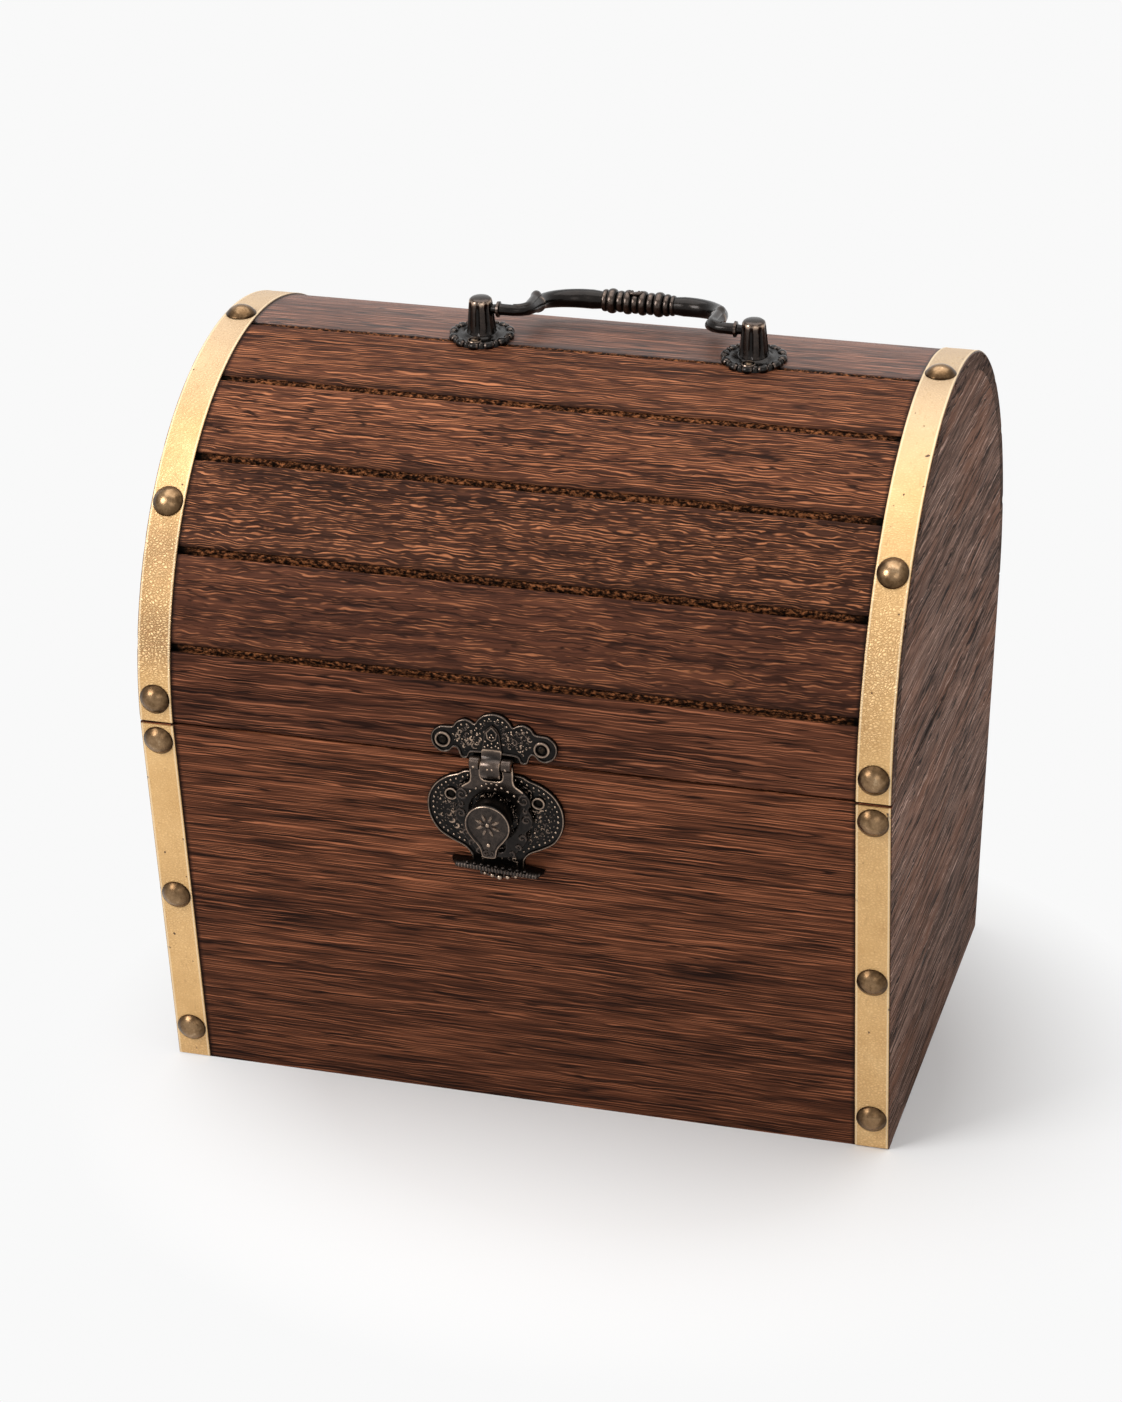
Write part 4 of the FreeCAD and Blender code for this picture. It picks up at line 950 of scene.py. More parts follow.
def screw_collar(form, x, s, out, radius):
    """A raised ring round a screw."""
    collar = [
        (radius, 0.0), (radius, 0.0005), (radius * 0.9, 0.0008), (radius * 0.72, 0.0008),
        (radius * 0.60, 0.0003), (radius * 0.58, 0.0001),
    ]
    form.lathe(Vector((x, -out, s)), FRONTWARD, collar, 24, [0.1, 0.45, 0.9, 0.7, 0.1, 0.0])


PLATE_HALF = (
    (0, -3.6), (5, -3.6), (9.8, -3.9), (12.4, -5.3), (16.6, -7.0), (20.6, -10.2), (23.2, -14.8),
    (23.9, -19.6), (23.0, -24.6), (20.2, -29.4), (15.8, -32.4), (11.6, -34.6), (9.5, -37.2), (9.2, -39.6),
    (9.0, -41.7), (4.5, -41.9), (0, -41.9),
)
PLATE_FRONT = 0.0016
PLATE_FIELD = 0.00095
PLATE_SUNK = PLATE_FRONT - PLATE_FIELD
PLATE_RIM = 0.00095
PLATE_WEAR = 0.12
BEADED_DOWN_TO, DASHED_DOWN_TO = -0.0345, -0.0335
BEAD_INSET, BEAD_SPACING, BEAD_RADIUS = 0.0021, 0.00185, 0.00050
COLLAR_RADIUS, COLLAR_ROOM = 0.0024, 0.0026
DASH_INSET, DASH_POINTS, DASH_PITCH = 0.0034, 3, 5
FIELD_INSET = 0.0044
LOWER_CURLS = ((1500, 1.25), (3600, 0.72))
SCREW_SPOTS = ((-0.0152, -0.0138), (0.0152, -0.0138))
plate_outline = smooth_outline(PLATE_HALF)
lower_plate = Casting()
rimmed_plate(lower_plate, plate_outline, 0.0, PLATE_FRONT, PLATE_RIM, PLATE_SUNK, 1.0, PLATE_WEAR)
bead_row(lower_plate, plate_outline, BEAD_INSET, BEAD_SPACING, BEAD_RADIUS, PLATE_FIELD,
         lambda spot: spot.y > BEADED_DOWN_TO)
for x, s in SCREW_SPOTS:
    screw_collar(lower_plate, x, s, PLATE_FIELD, COLLAR_RADIUS)
inner_line = ring_at(drawn_in(plate_outline, DASH_INSET), PLATE_FIELD)
for start in range(0, len(inner_line) - DASH_POINTS, DASH_PITCH):
    if inner_line[start].z > DASHED_DOWN_TO:
        dash = inner_line[start:start + DASH_POINTS]
        lower_plate.tube(dash, [0.00026, 0.00034, 0.00026], [0.45, 0.75, 0.45], FRONTWARD, 8)
lower_field = drawn_in(plate_outline, FIELD_INSET)
lower_avoid = [(x, s, COLLAR_ROOM) for x, s in SCREW_SPOTS]
for tries, size in LOWER_CURLS:
    filigree(lower_plate, lower_field, PLATE_FIELD, tries, lower_avoid, size)
LEDGE_TOP, LEDGE_HALF, LEDGE_SLANT = -0.0392, 0.0162, 0.0009
LEDGE_STEPS, LEDGE_RIB = 120, 0.00022
LEDGE_ROOT, LEDGE_SWELL = 0.0018, 0.0033
LEDGE_LIP, LEDGE_DROP, LEDGE_FALL = 0.0010, 0.0018, 0.0007
ledge_rings, ledge_wears = [], []
for step in range(LEDGE_STEPS + 1):
    across = -1.0 + step / (LEDGE_STEPS / 2)
    taper = 1.0 - abs(across) ** 7
    slant = -LEDGE_SLANT * across
    ribs = LEDGE_RIB * (0.5 + 0.5 * math.cos(step * math.pi / 2)) * min(1.0, 3 * taper)
    proud = LEDGE_ROOT + LEDGE_SWELL * min(1.0, 1.5 * taper) + ribs
    lower = LEDGE_TOP + slant - LEDGE_LIP - LEDGE_DROP * min(1.0, 1.6 * taper)
    upper = LEDGE_TOP + slant - LEDGE_FALL * abs(across) ** 5
    profile = [
        (0.0, upper - 0.0003), (0.0008, upper), (proud * 0.82, upper - 0.0002), (proud, upper - 0.0008),
        (proud, lower + 0.0009), (proud * 0.86, lower + 0.0002), (proud * 0.5, lower), (0.0, lower),
    ]
    ledge_rings.append([Vector((LEDGE_HALF * across, -out, s)) for out, s in profile])
    ledge_wears.append([0.15, 0.25, 0.34, 0.30 + 2000 * ribs, 0.18 + 2400 * ribs, 0.2, 0.1, 0.05])
lower_plate.rings(ledge_rings, ledge_wears)
for step in range(9):
    across = -0.62 + 1.24 * step / 8
    spot = Vector((LEDGE_HALF * across, -0.0044, LEDGE_TOP - LEDGE_SLANT * across - 0.0001))
    lower_plate.bead(spot, UPWARD, 0.0007, 0.0005, 0.6)
FOOT_CURLS = (
    (-0.0052, 0.0, 0.7), (-0.0026, 0.0005, 0.9), (0.0, 0.0009, 1.1), (0.0028, 0.0006, 0.9),
    (0.0056, 0.0001, 0.7), (0.0078, -0.0003, 0.6),
)
FOOT_BEAD, FOOT_CURL = (0.0034, -0.0427), (0.0030, -0.0429)
for x, drop, size in FOOT_CURLS:
    spot = Vector((x + 0.001, -FOOT_BEAD[0], FOOT_BEAD[1] - drop))
    lower_plate.bead(spot, FRONTWARD, 0.0011 * size, 0.0014 * size)
    scroll(lower_plate, (x, FOOT_CURL[1] - drop), 0.0012 * size, 40, 0.9, FOOT_CURL[0])
lower_plate.piece("latch_plate_casting", WALL_SEAT, ANTIQUE_BRONZE, "base", "latch_plate")


# Latch screws: small round-headed pins of darkened brass, driven through the plates' collars into
# the wood on plain shanks.
PIN_TONES = ((0.0040, 0.0034, 0.0030), (0.013, 0.0105, 0.0085), (0.075, 0.050, 0.032), (0.34, 0.24, 0.15))
PIN_DARK = aged_metal("dark_pin_brass", PIN_TONES, (0.42, 0.24), 1500.0)
PIN_SHANK = 0.001
LATCH_PIN, LATCH_SHANK = 0.0015, 0.0056
LOWER_PIN_OUT, LOWER_PIN_RISE = 0.0010, 0.0004


def pins(node, seat, body, spots, outward, radius, rise, length, shine=1.0):
    """Round heads on plain shanks."""
    heads = Casting()
    for point in spots:
        profile = [
            (PIN_SHANK, -length), (PIN_SHANK, 0.0), (radius, 0.0), (radius, rise * 0.25),
            (radius * 0.86, rise * 0.62), (radius * 0.55, rise * 0.9), (radius * 0.12, rise),
        ]
        wears = [0.0, 0.0, 0.0] + [shine * wear for wear in (0.2, 0.45, 0.75, 0.9)]
        heads.lathe(Vector(point), outward, profile, 20, wears)
    heads.piece(f"{node}_heads", seat, PIN_DARK, body, node, 60.0)


lower_pins = [(x, -LOWER_PIN_OUT, s) for x, s in SCREW_SPOTS]
pins("latch_plate_screws", WALL_SEAT, "base", lower_pins, FRONTWARD,
     LATCH_PIN, LOWER_PIN_RISE, LATCH_SHANK, 0.3)


# Latch, knob: a thick round button with a tapered tail, cast with a raised ring and a small rosette
# on a plain barrel, and riveted through the lower plate so that it turns.
KNOB_DROP = -0.0186
KNOB_BACK, HEAD_BACK, HEAD_FRONT = 0.0040, 0.0089, 0.0113
KNOB_FACE = HEAD_FRONT - 0.0006
KNOB_HALF = (
    (0, 7.9), (3.1, 7.25), (5.7, 5.45), (7.45, 2.6), (7.9, -0.4), (7.3, -3.2), (5.7, -5.8), (4.1, -7.8),
    (3.1, -9.6), (2.75, -11.4), (2.2, -12.7), (0, -13.0),
)
KNOB_BARREL = (
    (0.0066, KNOB_BACK), (0.0072, KNOB_BACK + 0.0004), (0.0072, HEAD_BACK - 0.0012),
    (0.0069, HEAD_BACK - 0.0004), (0.0070, HEAD_BACK + 0.0004),
)
KNOB_RIVET = (
    (0.0034, -0.0010), (0.0034, -0.0002), (0.0019, -0.0002), (0.0019, 0.0020), (0.0024, 0.0020),
    (0.0024, KNOB_BACK + 0.0002),
)
PETALS = 8
PETAL_REACH = (0.0013, 0.0024, 0.0037, 0.0047)
PETAL_WIDTH = (0.00030, 0.00062, 0.00050, 0.00012)
PETAL_WEAR = (0.5, 0.75, 0.8, 0.6)
knob_outline = [spot + Vector((0.0, KNOB_DROP)) for spot in smooth_outline(KNOB_HALF, 0.0005)]
knob_middle = Vector((0, -KNOB_FACE, KNOB_DROP))
knob = Casting()
rimmed_plate(knob, knob_outline, HEAD_BACK, HEAD_FRONT, 0.0011, HEAD_FRONT - KNOB_FACE, 1.0, 0.45)
knob.lathe(Vector((0, 0, KNOB_DROP)), FRONTWARD, KNOB_BARREL, 48, [0.15, 0.36, 0.36, 0.2, 0.1])
for petal in range(PETALS):
    angle = math.radians(360 / PETALS * (petal + 0.5))
    reach = Vector((math.cos(angle), 0.0, math.sin(angle)))
    tip = [knob_middle + reach * distance for distance in PETAL_REACH]
    knob.tube(tip, PETAL_WIDTH, PETAL_WEAR, FRONTWARD, 8)
knob.bead(knob_middle, FRONTWARD, 0.0009, 0.0005)
knob.bead(Vector((0, -KNOB_FACE, KNOB_DROP - 0.0078)), FRONTWARD, 0.0009, 0.0008)
scroll(knob, (-0.0010, KNOB_DROP - 0.0112), 0.0011, 60, 1.0, KNOB_FACE + 0.0001)
scroll(knob, (0.0011, KNOB_DROP - 0.0115), 0.0010, 120, 1.0, KNOB_FACE + 0.0001, -1.0)
knob.lathe(Vector((0, 0, KNOB_DROP)), FRONTWARD, KNOB_RIVET, 24, [0.1] * len(KNOB_RIVET))
knob.piece("latch_knob_button", WALL_SEAT, ANTIQUE_BRONZE, "knob", "latch_knob")


# Latch, upper plate: a cast plate with a scalloped top, pinned to the front rail of the lid.  Its
# tongue curls forward over the pin that the hasp hangs from.
LID_SEAT = Matrix.Translation((LATCH_X, -LID_RADIUS, LID_LINE))
UPPER_SHIFT = Vector((0.0006, 0.0))
UPPER_BACK, UPPER_RIM, WEB_FRONT = -0.0006, 0.0009, 0.0001
UPPER_HALF = (
    (0, 18.1), (3.4, 17.3), (5.7, 15.3), (6.6, 13.9), (7.8, 14.6), (10.2, 15.2), (12.9, 14.0), (14.2, 12.3),
    (15.8, 12.0), (18.7, 11.7), (21.2, 9.7), (21.9, 6.9), (20.8, 4.0), (18.2, 2.3), (15.6, 2.7), (14.0, 4.3),
    (13.0, 4.3), (12.3, 3.3), (12.0, 2.2), (11.4, 1.2), (10.3, 0.75), (9.2, 1.15), (8.6, 2.1), (8.0, 3.1),
    (4.4, 3.4), (0, 3.4),
)
WEB = ((-8.8, 4.4), (8.8, 4.4), (8.8, 0.7), (-8.8, 0.7))
STEM = (
    (0.0, 14.1), (2.0, 12.6), (2.9, 10.4), (3.2, 7.6), (3.4, 4.9), (-3.4, 4.9), (-3.2, 7.6), (-2.9, 10.4),
    (-2.0, 12.6),
)
STEM_FRONT, STEM_FIELD = 0.0017, 0.0016
STEM_STEPS = ((0.0, 0.0008, 0.1), (0.0001, 0.0014, 0.5), (0.0003, STEM_FRONT, 0.7), (0.0007, STEM_FIELD, 0.1))
LOZENGE_LINE = 0.00032
LOZENGE = (
    (0.0, 0.0132), (0.0018, 0.0112), (0.0014, 0.0092), (0.0, 0.0083), (-0.0014, 0.0092), (-0.0018, 0.0112),
    (0.0, 0.0132),
)
STEM_BEADS = (
    (0.0, 0.0106), (-0.0006, 0.0096), (0.0006, 0.0097), (-0.0022, 0.0080), (0.0021, 0.0079), (0.0, 0.0074),
    (-0.0013, 0.0067), (0.0014, 0.0066), (-0.0024, 0.0060), (0.0024, 0.0061), (0.0, 0.0060),
)
BEADS_ABOVE, BEADS_HALF = 0.0085, 0.0135
UPPER_INSET, UPPER_SPACING, UPPER_BEAD = 0.0019, 0.0017, 0.00044
UPPER_COLLAR, UPPER_ROOM, UPPER_FIELD_INSET = 0.0029, 0.0032, 0.0026
UPPER_PIN_OUT, UPPER_PIN_RISE = 0.0011, 0.0008
UPPER_CURLS = ((1200, 1.15), (2600, 0.70))
UPPER_SCREWS = ((-0.0171, 0.0069), (0.0171, 0.0069))
STEM_ROOM = ((0.0, 0.0120, 0.0024), (0.0, 0.0085, 0.0032), (0.0, 0.0055, 0.0036))
upper_outline = [spot + UPPER_SHIFT for spot in smooth_outline(UPPER_HALF, 0.0005)]
upper_plate = Casting()
rimmed_plate(upper_plate, upper_outline, UPPER_BACK, PLATE_FRONT, UPPER_RIM, PLATE_SUNK, 0.9, PLATE_WEAR)
bead_row(upper_plate, upper_outline, UPPER_INSET, UPPER_SPACING, UPPER_BEAD, PLATE_FIELD,
         lambda spot: spot.y > BEADS_ABOVE and abs(spot.x) < BEADS_HALF)
web = [Vector(spot) * MM for spot in WEB]
upper_plate.rings([ring_at(web, out) for out in (UPPER_BACK, WEB_FRONT)], [0.0, 0.05])
for x, s in UPPER_SCREWS:
    screw_collar(upper_plate, x, s, PLATE_FIELD, UPPER_COLLAR)
upper_field = drawn_in(upper_outline, UPPER_FIELD_INSET)
upper_avoid = [*((x, s, UPPER_ROOM) for x, s in UPPER_SCREWS), *STEM_ROOM]
for tries, size in UPPER_CURLS:
    filigree(upper_plate, upper_field, PLATE_FIELD, tries, upper_avoid, size)
stepped(upper_plate, [Vector(spot) * MM for spot in STEM], STEM_STEPS)
lozenge = [Vector((x, -STEM_FRONT, s)) for x, s in LOZENGE]
upper_plate.tube(lozenge, [LOZENGE_LINE] * len(lozenge), [0.75] * len(lozenge), FRONTWARD, 8)
beads(upper_plate, STEM_BEADS, STEM_FIELD, 0.00042, 0.00045)
TONGUE, TONGUE_EDGE = 0.0034, 0.00035
CURL_MIDDLE = Vector((0.0026, 0.0012))
# Each point of the curl has its distance out and up in mm, and its wear.
CURL = (
    (0.9, 5.3, 0.2), (1.9, 5.1, 0.85), (2.2, 4.3, 0.52), (2.35, 3.4, 0.42), (2.7, 2.6, 0.30),
    (3.6, 1.9, 0.42), (4.6, 1.3, 0.62), (5.15, 0.2, 0.56), (5.2, -1.2, 0.46), (4.95, -2.6, 0.42),
    (4.5, -3.7, 0.70), (4.0, -4.4, 0.4), (3.6, -4.2, 0.1), (3.5, -3.2, 0.0), (3.0, -2.1, 0.0),
    (1.8, -1.7, 0.0), (0.8, -1.0, 0.0), (0.4, 0.6, 0.0), (0.5, 2.4, 0.0), (0.7, 4.2, 0.0),
)
tongue_rings, tongue_wears = [], []
for x, ease, shine in (
    (-TONGUE, TONGUE_EDGE, 1.5), (-TONGUE + TONGUE_EDGE, 0.0, 1.2), (0.0, -0.0001, 1.0),
    (TONGUE - TONGUE_EDGE, 0.0, 1.2), (TONGUE, TONGUE_EDGE, 1.5),
):
    ring = []
    for out, up, _ in CURL:
        spot = Vector((out * MM, up * MM))
        pull = (CURL_MIDDLE - spot).normalized() * ease
        ring.append(Vector((x, -(out * MM + pull.x), up * MM + pull.y)))
    tongue_rings.append(ring)
    tongue_wears.append([min(1.0, wear * shine) for _, _, wear in CURL])
upper_plate.rings(tongue_rings, tongue_wears)
beads(upper_plate, ((-0.0006, -0.0006), (0.0010, -0.0006)), 0.0050, 0.0005, 0.0004)
upper_plate.piece("latch_lid_plate_casting", LID_SEAT, ANTIQUE_BRONZE, "lid", "latch_lid_plate")
upper_pins = [(x, -UPPER_PIN_OUT, s) for x, s in UPPER_SCREWS]
pins("latch_lid_plate_screws", LID_SEAT, "lid", upper_pins, FRONTWARD,
     LATCH_PIN, UPPER_PIN_RISE, LATCH_SHANK, 0.5)
eased("latch_hinge_pin", PIN_DARK, 0.0002)


# Latch, hasp: a cast loop that hangs from the pin by two arms and drops over the knob through a
# keyhole-shaped eye; its edges roll into scrolls.
HASP_BACK, HASP_FRONT = 0.0020, 0.0036
HASP_HALF = (
    (0, -5.6), (2.9, -5.3), (3.72, -4.0), (3.7, -1.5), (3.7, 0.8), (5.5, 0.9), (7.3, 0.8), (7.6, -2.0),
    (7.5, -4.8), (8.1, -6.8), (10.2, -8.4), (12.3, -10.6), (13.1, -13.4), (12.2, -15.6), (13.2, -17.9),
    (13.5, -20.6), (12.6, -23.2), (11.0, -25.0), (11.3, -27.4), (10.1, -30.0), (8.2, -32.4), (6.4, -34.5),
    (3.6, -35.8), (0, -36.0),
)
EYE_HALF = (
    (0, 8.5), (3.4, 7.8), (6.2, 5.9), (8.0, 3.0), (8.55, 0.0), (8.5, -1.8), (7.7, -4.9), (5.8, -7.6),
    (4.0, -9.2), (3.45, -11.0), (3.4, -13.6), (2.4, -15.1), (0, -15.3),
)
HASP_STEPS = (
    (0.0003, HASP_BACK, 0.05), (0.0, HASP_BACK + 0.0003, 0.1), (0.0, HASP_FRONT - 0.0004, 0.25),
    (0.00015, HASP_FRONT - 0.00012, 0.7), (0.0004, HASP_FRONT, 0.6), (0.0007, HASP_FRONT, 0.36),
)
# Below the arms the hasp's wear is scaled down, painting shade on the loop round the knob.
ARMS_ABOVE, ARM_SHINE, LOOP_SHADE = -0.0090, 1.4, 0.62
HASP_SCROLLS = (
    (0.0107, -0.0120, 0.0021, 60, 1.3), (0.0114, -0.0196, 0.0018, 0, 1.2),
    (0.0096, -0.0270, 0.0015, -40, 1.1), (0.0080, -0.0308, 0.0012, -70, 1.0),
    (0.0056, -0.0338, 0.0012, -90, 1.0), (0.0113, -0.0160, 0.0011, 100, 0.9),
)
HASP_BEADS = (
    (-0.0018, -0.0068), (0.0, -0.0064), (0.0018, -0.0068), (-0.0034, -0.0078), (0.0034, -0.0078),
    (-0.0010, -0.0084), (0.0012, -0.0085), (-0.0055, -0.0090), (0.0055, -0.0090), (-0.0076, -0.0104),
    (0.0076, -0.0104), (-0.0090, -0.0122), (0.0090, -0.0122),
)
ARM_INNER, ARM_OUTER = 0.0037, 0.0073
ARM_ROLL = ((0.0019, 0.0), (0.0023, 0.0003), (0.0023, 0.0033), (0.0019, 0.0036))
hasp_outline = smooth_outline(HASP_HALF, 0.0005)
eye_outline = [spot + Vector((0.0, KNOB_DROP)) for spot in smooth_outline(EYE_HALF, 0.0005)]
hasp = Casting()


def pierced_plate(form, outer, inner, steps):
    """A flat casting with a shaped hole, its outer and inner edges rounded."""
    loops = []
    for outline, way in ((outer, 1.0), (inner, -1.0)):
        start, count = len(form.points), len(outline)
        last = start + (len(steps) - 1) * count
        rings = [ring_at(drawn_in(outline, way * inset), out) for inset, out, _ in steps]
        # Painted shade: the loop below the arms gets less wear than the arms.
        shines = [ARM_SHINE if spot.y > ARMS_ABOVE else LOOP_SHADE for spot in outline]
        form.rings(rings, [[min(1.0, wear * shine) for shine in shines] for _, _, wear in steps], False)
        loops.append((range(start, start + count), range(last, last + count)))
    for outer_loop, inner_loop in zip(*loops):
        spots = [[form.points[index] for index in loop] for loop in (outer_loop, inner_loop)]
        numbers = list(outer_loop) + list(inner_loop)
        for corners in tessellate_polygon(spots):
            form.faces.append(tuple(numbers[corner] for corner in corners))


pierced_plate(hasp, hasp_outline, eye_outline, HASP_STEPS)
for hand in (-1.0, 1.0):
    low = ARM_INNER if hand > 0 else -ARM_OUTER
    hasp.lathe(Vector((low, -0.0030, 0.0008)), SIDEWAYS, ARM_ROLL, 28, [0.9, 0.62, 0.62, 0.9])
    for x, s, size, start, turns in HASP_SCROLLS:
        begin = start if hand > 0 else 180 - start
        scroll(hasp, (hand * x, s), size, begin, turns, HASP_FRONT, hand, 0.00046)
beads(hasp, HASP_BEADS, HASP_FRONT, 0.00055, 0.0005)
beads(hasp, ((-0.0055, 0.0004), (0.0055, 0.0004)), 0.0052, 0.0006, 0.0004)
hasp.piece("latch_hasp_loop", WALL_SEAT, ANTIQUE_BRONZE, "hasp", "latch_hasp")


# Hinges: pressed brass butt hinges on the back, browned with age, their leaves pinned to the back
# wall and to the back rail; a lug on the lower knuckles stops the open lid.
HINGE_EDGE, SCREW_EDGE = 0.00015, 0.00012
HINGE_TONES = ((0.13, 0.086, 0.044), (0.28, 0.190, 0.100), (0.44, 0.31, 0.165), (0.55, 0.42, 0.25))
HINGE_BRASS = aged_metal("browned_hinge_brass", HINGE_TONES, (0.50, 0.32), 900.0)
for side, _ in SIDES:
    for kind in ("base_leaf", "lid_leaf", "pin"):
        eased(f"{side}_hinge_{kind}", HINGE_BRASS, HINGE_EDGE)
for node in ("hinge_base_screws", "hinge_lid_screws"):
    eased(node, HINGE_BRASS, SCREW_EDGE)


# Handle posts: cast columns with arched flutes under a scalloped cap, each on a dished rosette with
# a rim of bars and pearls, and held to the crown of the lid by two pins.
HANDLE_X = 0.012
HANDLE_HALF = 0.048
CROWN_LEAN = math.radians(5.0)
POST_SIDES, FLUTES = 96, 8
# Each ring has its radius and height and the depth of its flutes in mm, and its wear.
POST_RINGS = (
    (5.35, 0.8, 0.0, 0.05), (5.30, 1.6, 0.0, 0.1), (5.12, 2.2, 0.30, 0.15), (4.98, 3.0, 0.62, 0.15),
    (4.76, 5.5, 0.66, 0.18), (4.52, 8.0, 0.64, 0.2), (4.28, 10.5, 0.58, 0.25), (4.15, 11.8, 0.48, 0.35),
    (4.08, 12.5, 0.25, 0.5), (4.00, 13.1, 0.14, 0.7), (3.80, 13.7, 0.08, 0.5), (3.3, 14.1, 0.04, 0.3),
    (2.4, 14.3, 0.0, 0.2), (1.4, 14.42, 0.0, 0.2), (0.3, 14.5, 0.0, 0.2),
)
DISH = (
    (10.6, -1.2, 0.0), (10.6, 0.5, 0.05), (9.8, 1.2, 0.1), (9.2, 1.25, 0.15), (8.4, 1.15, 0.22),
    (6.4, 1.2, 0.22), (5.9, 1.7, 0.3), (5.4, 1.9, 0.2),
)
PIN_REACH, PIN_SEAT = 0.0084, 0.0012
PIN_PLACES = (-PIN_REACH, PIN_REACH)
ROSETTE_PIN, ROSETTE_PIN_RISE, ROSETTE_SHANK = 0.0017, 0.0012, 0.0045
PIN_COLLAR = ((0.0025, 0.0), (0.0025, 0.0008), (0.0023, 0.0011), (0.0020, 0.0010), (0.0018, 0.0002))
RIM_REACH = 0.0099
RIM_STEPS, RIM_PITCH, BAR_SPAN, BAR_STEPS = 12, 30.0, 18.0, 8
HANDLE_TONES = (
    (0.0034, 0.0028, 0.0025), (0.0140, 0.0109, 0.0092), (0.068, 0.0485, 0.0385), (0.54, 0.39, 0.285),
)
HANDLE_BRONZE = aged_metal("handle_bronze", HANDLE_TONES, (0.30, 0.17), 1500.0, 0.94, 0.42, 0.2)


def over_crown(radius, turn):
    """A seat in the middle of the handle, a radius from the lid's axis and turned round the handle's line."""
    middle = (HANDLE_X, -radius * math.sin(CROWN_LEAN), LID_AXIS + radius * math.cos(CROWN_LEAN))
    return Matrix.Translation(middle) @ Matrix.Rotation(turn, 4, "X")


def on_rosette(middle, angle, reach, rise):
    """A point over a rosette, dropped to follow the curve of the lid."""
    x, y = reach * math.cos(angle), reach * math.sin(angle)
    return middle + Vector((x, y, rise - 0.5 * y * y / LID_RADIUS))


def rim_bar(form, middle, place):
    """A swollen bar on the rim of a rosette, brightest at its ends."""
    path, radii, marks = [], [], []
    for step in range(BAR_STEPS + 1):
        swell = math.sin(math.pi * (0.10 + 0.80 * step / BAR_STEPS)) ** 0.3
        angle = math.radians(place - BAR_SPAN / 2 + BAR_SPAN * step / BAR_STEPS)
        path.append(on_rosette(middle, angle, RIM_REACH, 0.0007))
        radii.append(0.00165 * swell)
        marks.append(0.22 + 0.42 * (step in (0, 1, 7, 8)))
    form.tube(path, radii, marks, UPWARD, 12)


CROWN_SEAT = over_crown(LID_RADIUS, CROWN_LEAN)
for side, sign in SIDES:
    post = Casting()
    middle = Vector((sign * HANDLE_HALF, 0.0, 0.0))
    rings, wears = [], []
    for radius, height, depth, wear in POST_RINGS:
        ring, marks = [], []
        for step in range(POST_SIDES):
            angle = 2 * math.pi * step / POST_SIDES
            hollow = max(0.0, math.cos(FLUTES * angle)) ** 0.6
            reach = (radius - depth * hollow) * MM
            ring.append(middle + Vector((reach * math.cos(angle), reach * math.sin(angle), height * MM)))
            marks.append(min(1.0, (wear + 0.12) * (1.0 - 0.85 * hollow * min(1.0, depth * 2)) + 0.14))
        rings.append(ring)
        wears.append(marks)
    post.rings(rings, wears)
    dish = [(radius * MM, height * MM) for radius, height, _ in DISH]
    post.lathe(middle, UPWARD, dish, 64, [wear for _, _, wear in DISH])
    for step in range(RIM_STEPS):
        rim_bar(post, middle, RIM_PITCH * step)
        pearl = math.radians(RIM_PITCH * step + RIM_PITCH / 2)
        post.bead(on_rosette(middle, pearl, RIM_REACH, 0.0004), UPWARD, 0.00125, 0.0019, 0.45, 14)
    for reach in PIN_PLACES:
        post.lathe(middle + Vector((0, reach, 0.0010)), UPWARD, PIN_COLLAR, 24, [0.2, 0.5, 0.85, 0.6, 0.1])
    post.piece(f"{side}_handle_post_casting", CROWN_SEAT, HANDLE_BRONZE, "lid", f"{side}_handle_post", 50.0)
rosette_pins = [(sign * HANDLE_HALF, reach, PIN_SEAT) for _, sign in SIDES for reach in PIN_PLACES]
pins("handle_screws", CROWN_SEAT, "lid", rosette_pins, UPWARD, ROSETTE_PIN, ROSETTE_PIN_RISE, ROSETTE_SHANK)


# Handle bail: a cast grip, swollen towards a run of turned rings, whose ends wear a flared cuff with
# a curled leaf and bend into short pins that turn in the posts.  It lies folded back.
PIVOT_RISE = 0.0104
BAIL_REST = math.radians(-7.0)
BAIL_SEAT = over_crown(LID_RADIUS + PIVOT_RISE, BAIL_REST)
LEG_X, REACH, ELBOW, SHOULDER = 0.032, 0.031, 0.005, 0.014
PIN_END, STUB_END = 0.04679, 0.04349


def bail_line(distance):
    """A point of the bail's middle line, a distance from the inner face of a post."""
    stub = STUB_END - LEG_X - ELBOW
    bend = ELBOW * math.pi / 2
    leg = REACH - SHOULDER - ELBOW
    turn = SHOULDER * math.pi / 2
    if distance < stub:
        return Vector((STUB_END - distance, 0.0, 0.0))
    distance -= stub
    if distance < bend:
        angle = distance / ELBOW
        return Vector((LEG_X + ELBOW * (1.0 - math.sin(angle)), ELBOW * (1.0 - math.cos(angle)), 0.0))
    distance -= bend
    if distance < leg:
        return Vector((LEG_X, ELBOW + distance, 0.0))
    distance -= leg
    if distance < turn:
        angle = distance / SHOULDER
        inward, short = SHOULDER * (1.0 - math.cos(angle)), SHOULDER * (1.0 - math.sin(angle))
        return Vector((LEG_X - inward, REACH - short, 0.0))
    return Vector((LEG_X - SHOULDER - (distance - turn), REACH, 0.0))


def mirrored(point, sign):
    """A point for the left or the right half of the bail."""
    return Vector((point.x * sign, point.y, point.z))


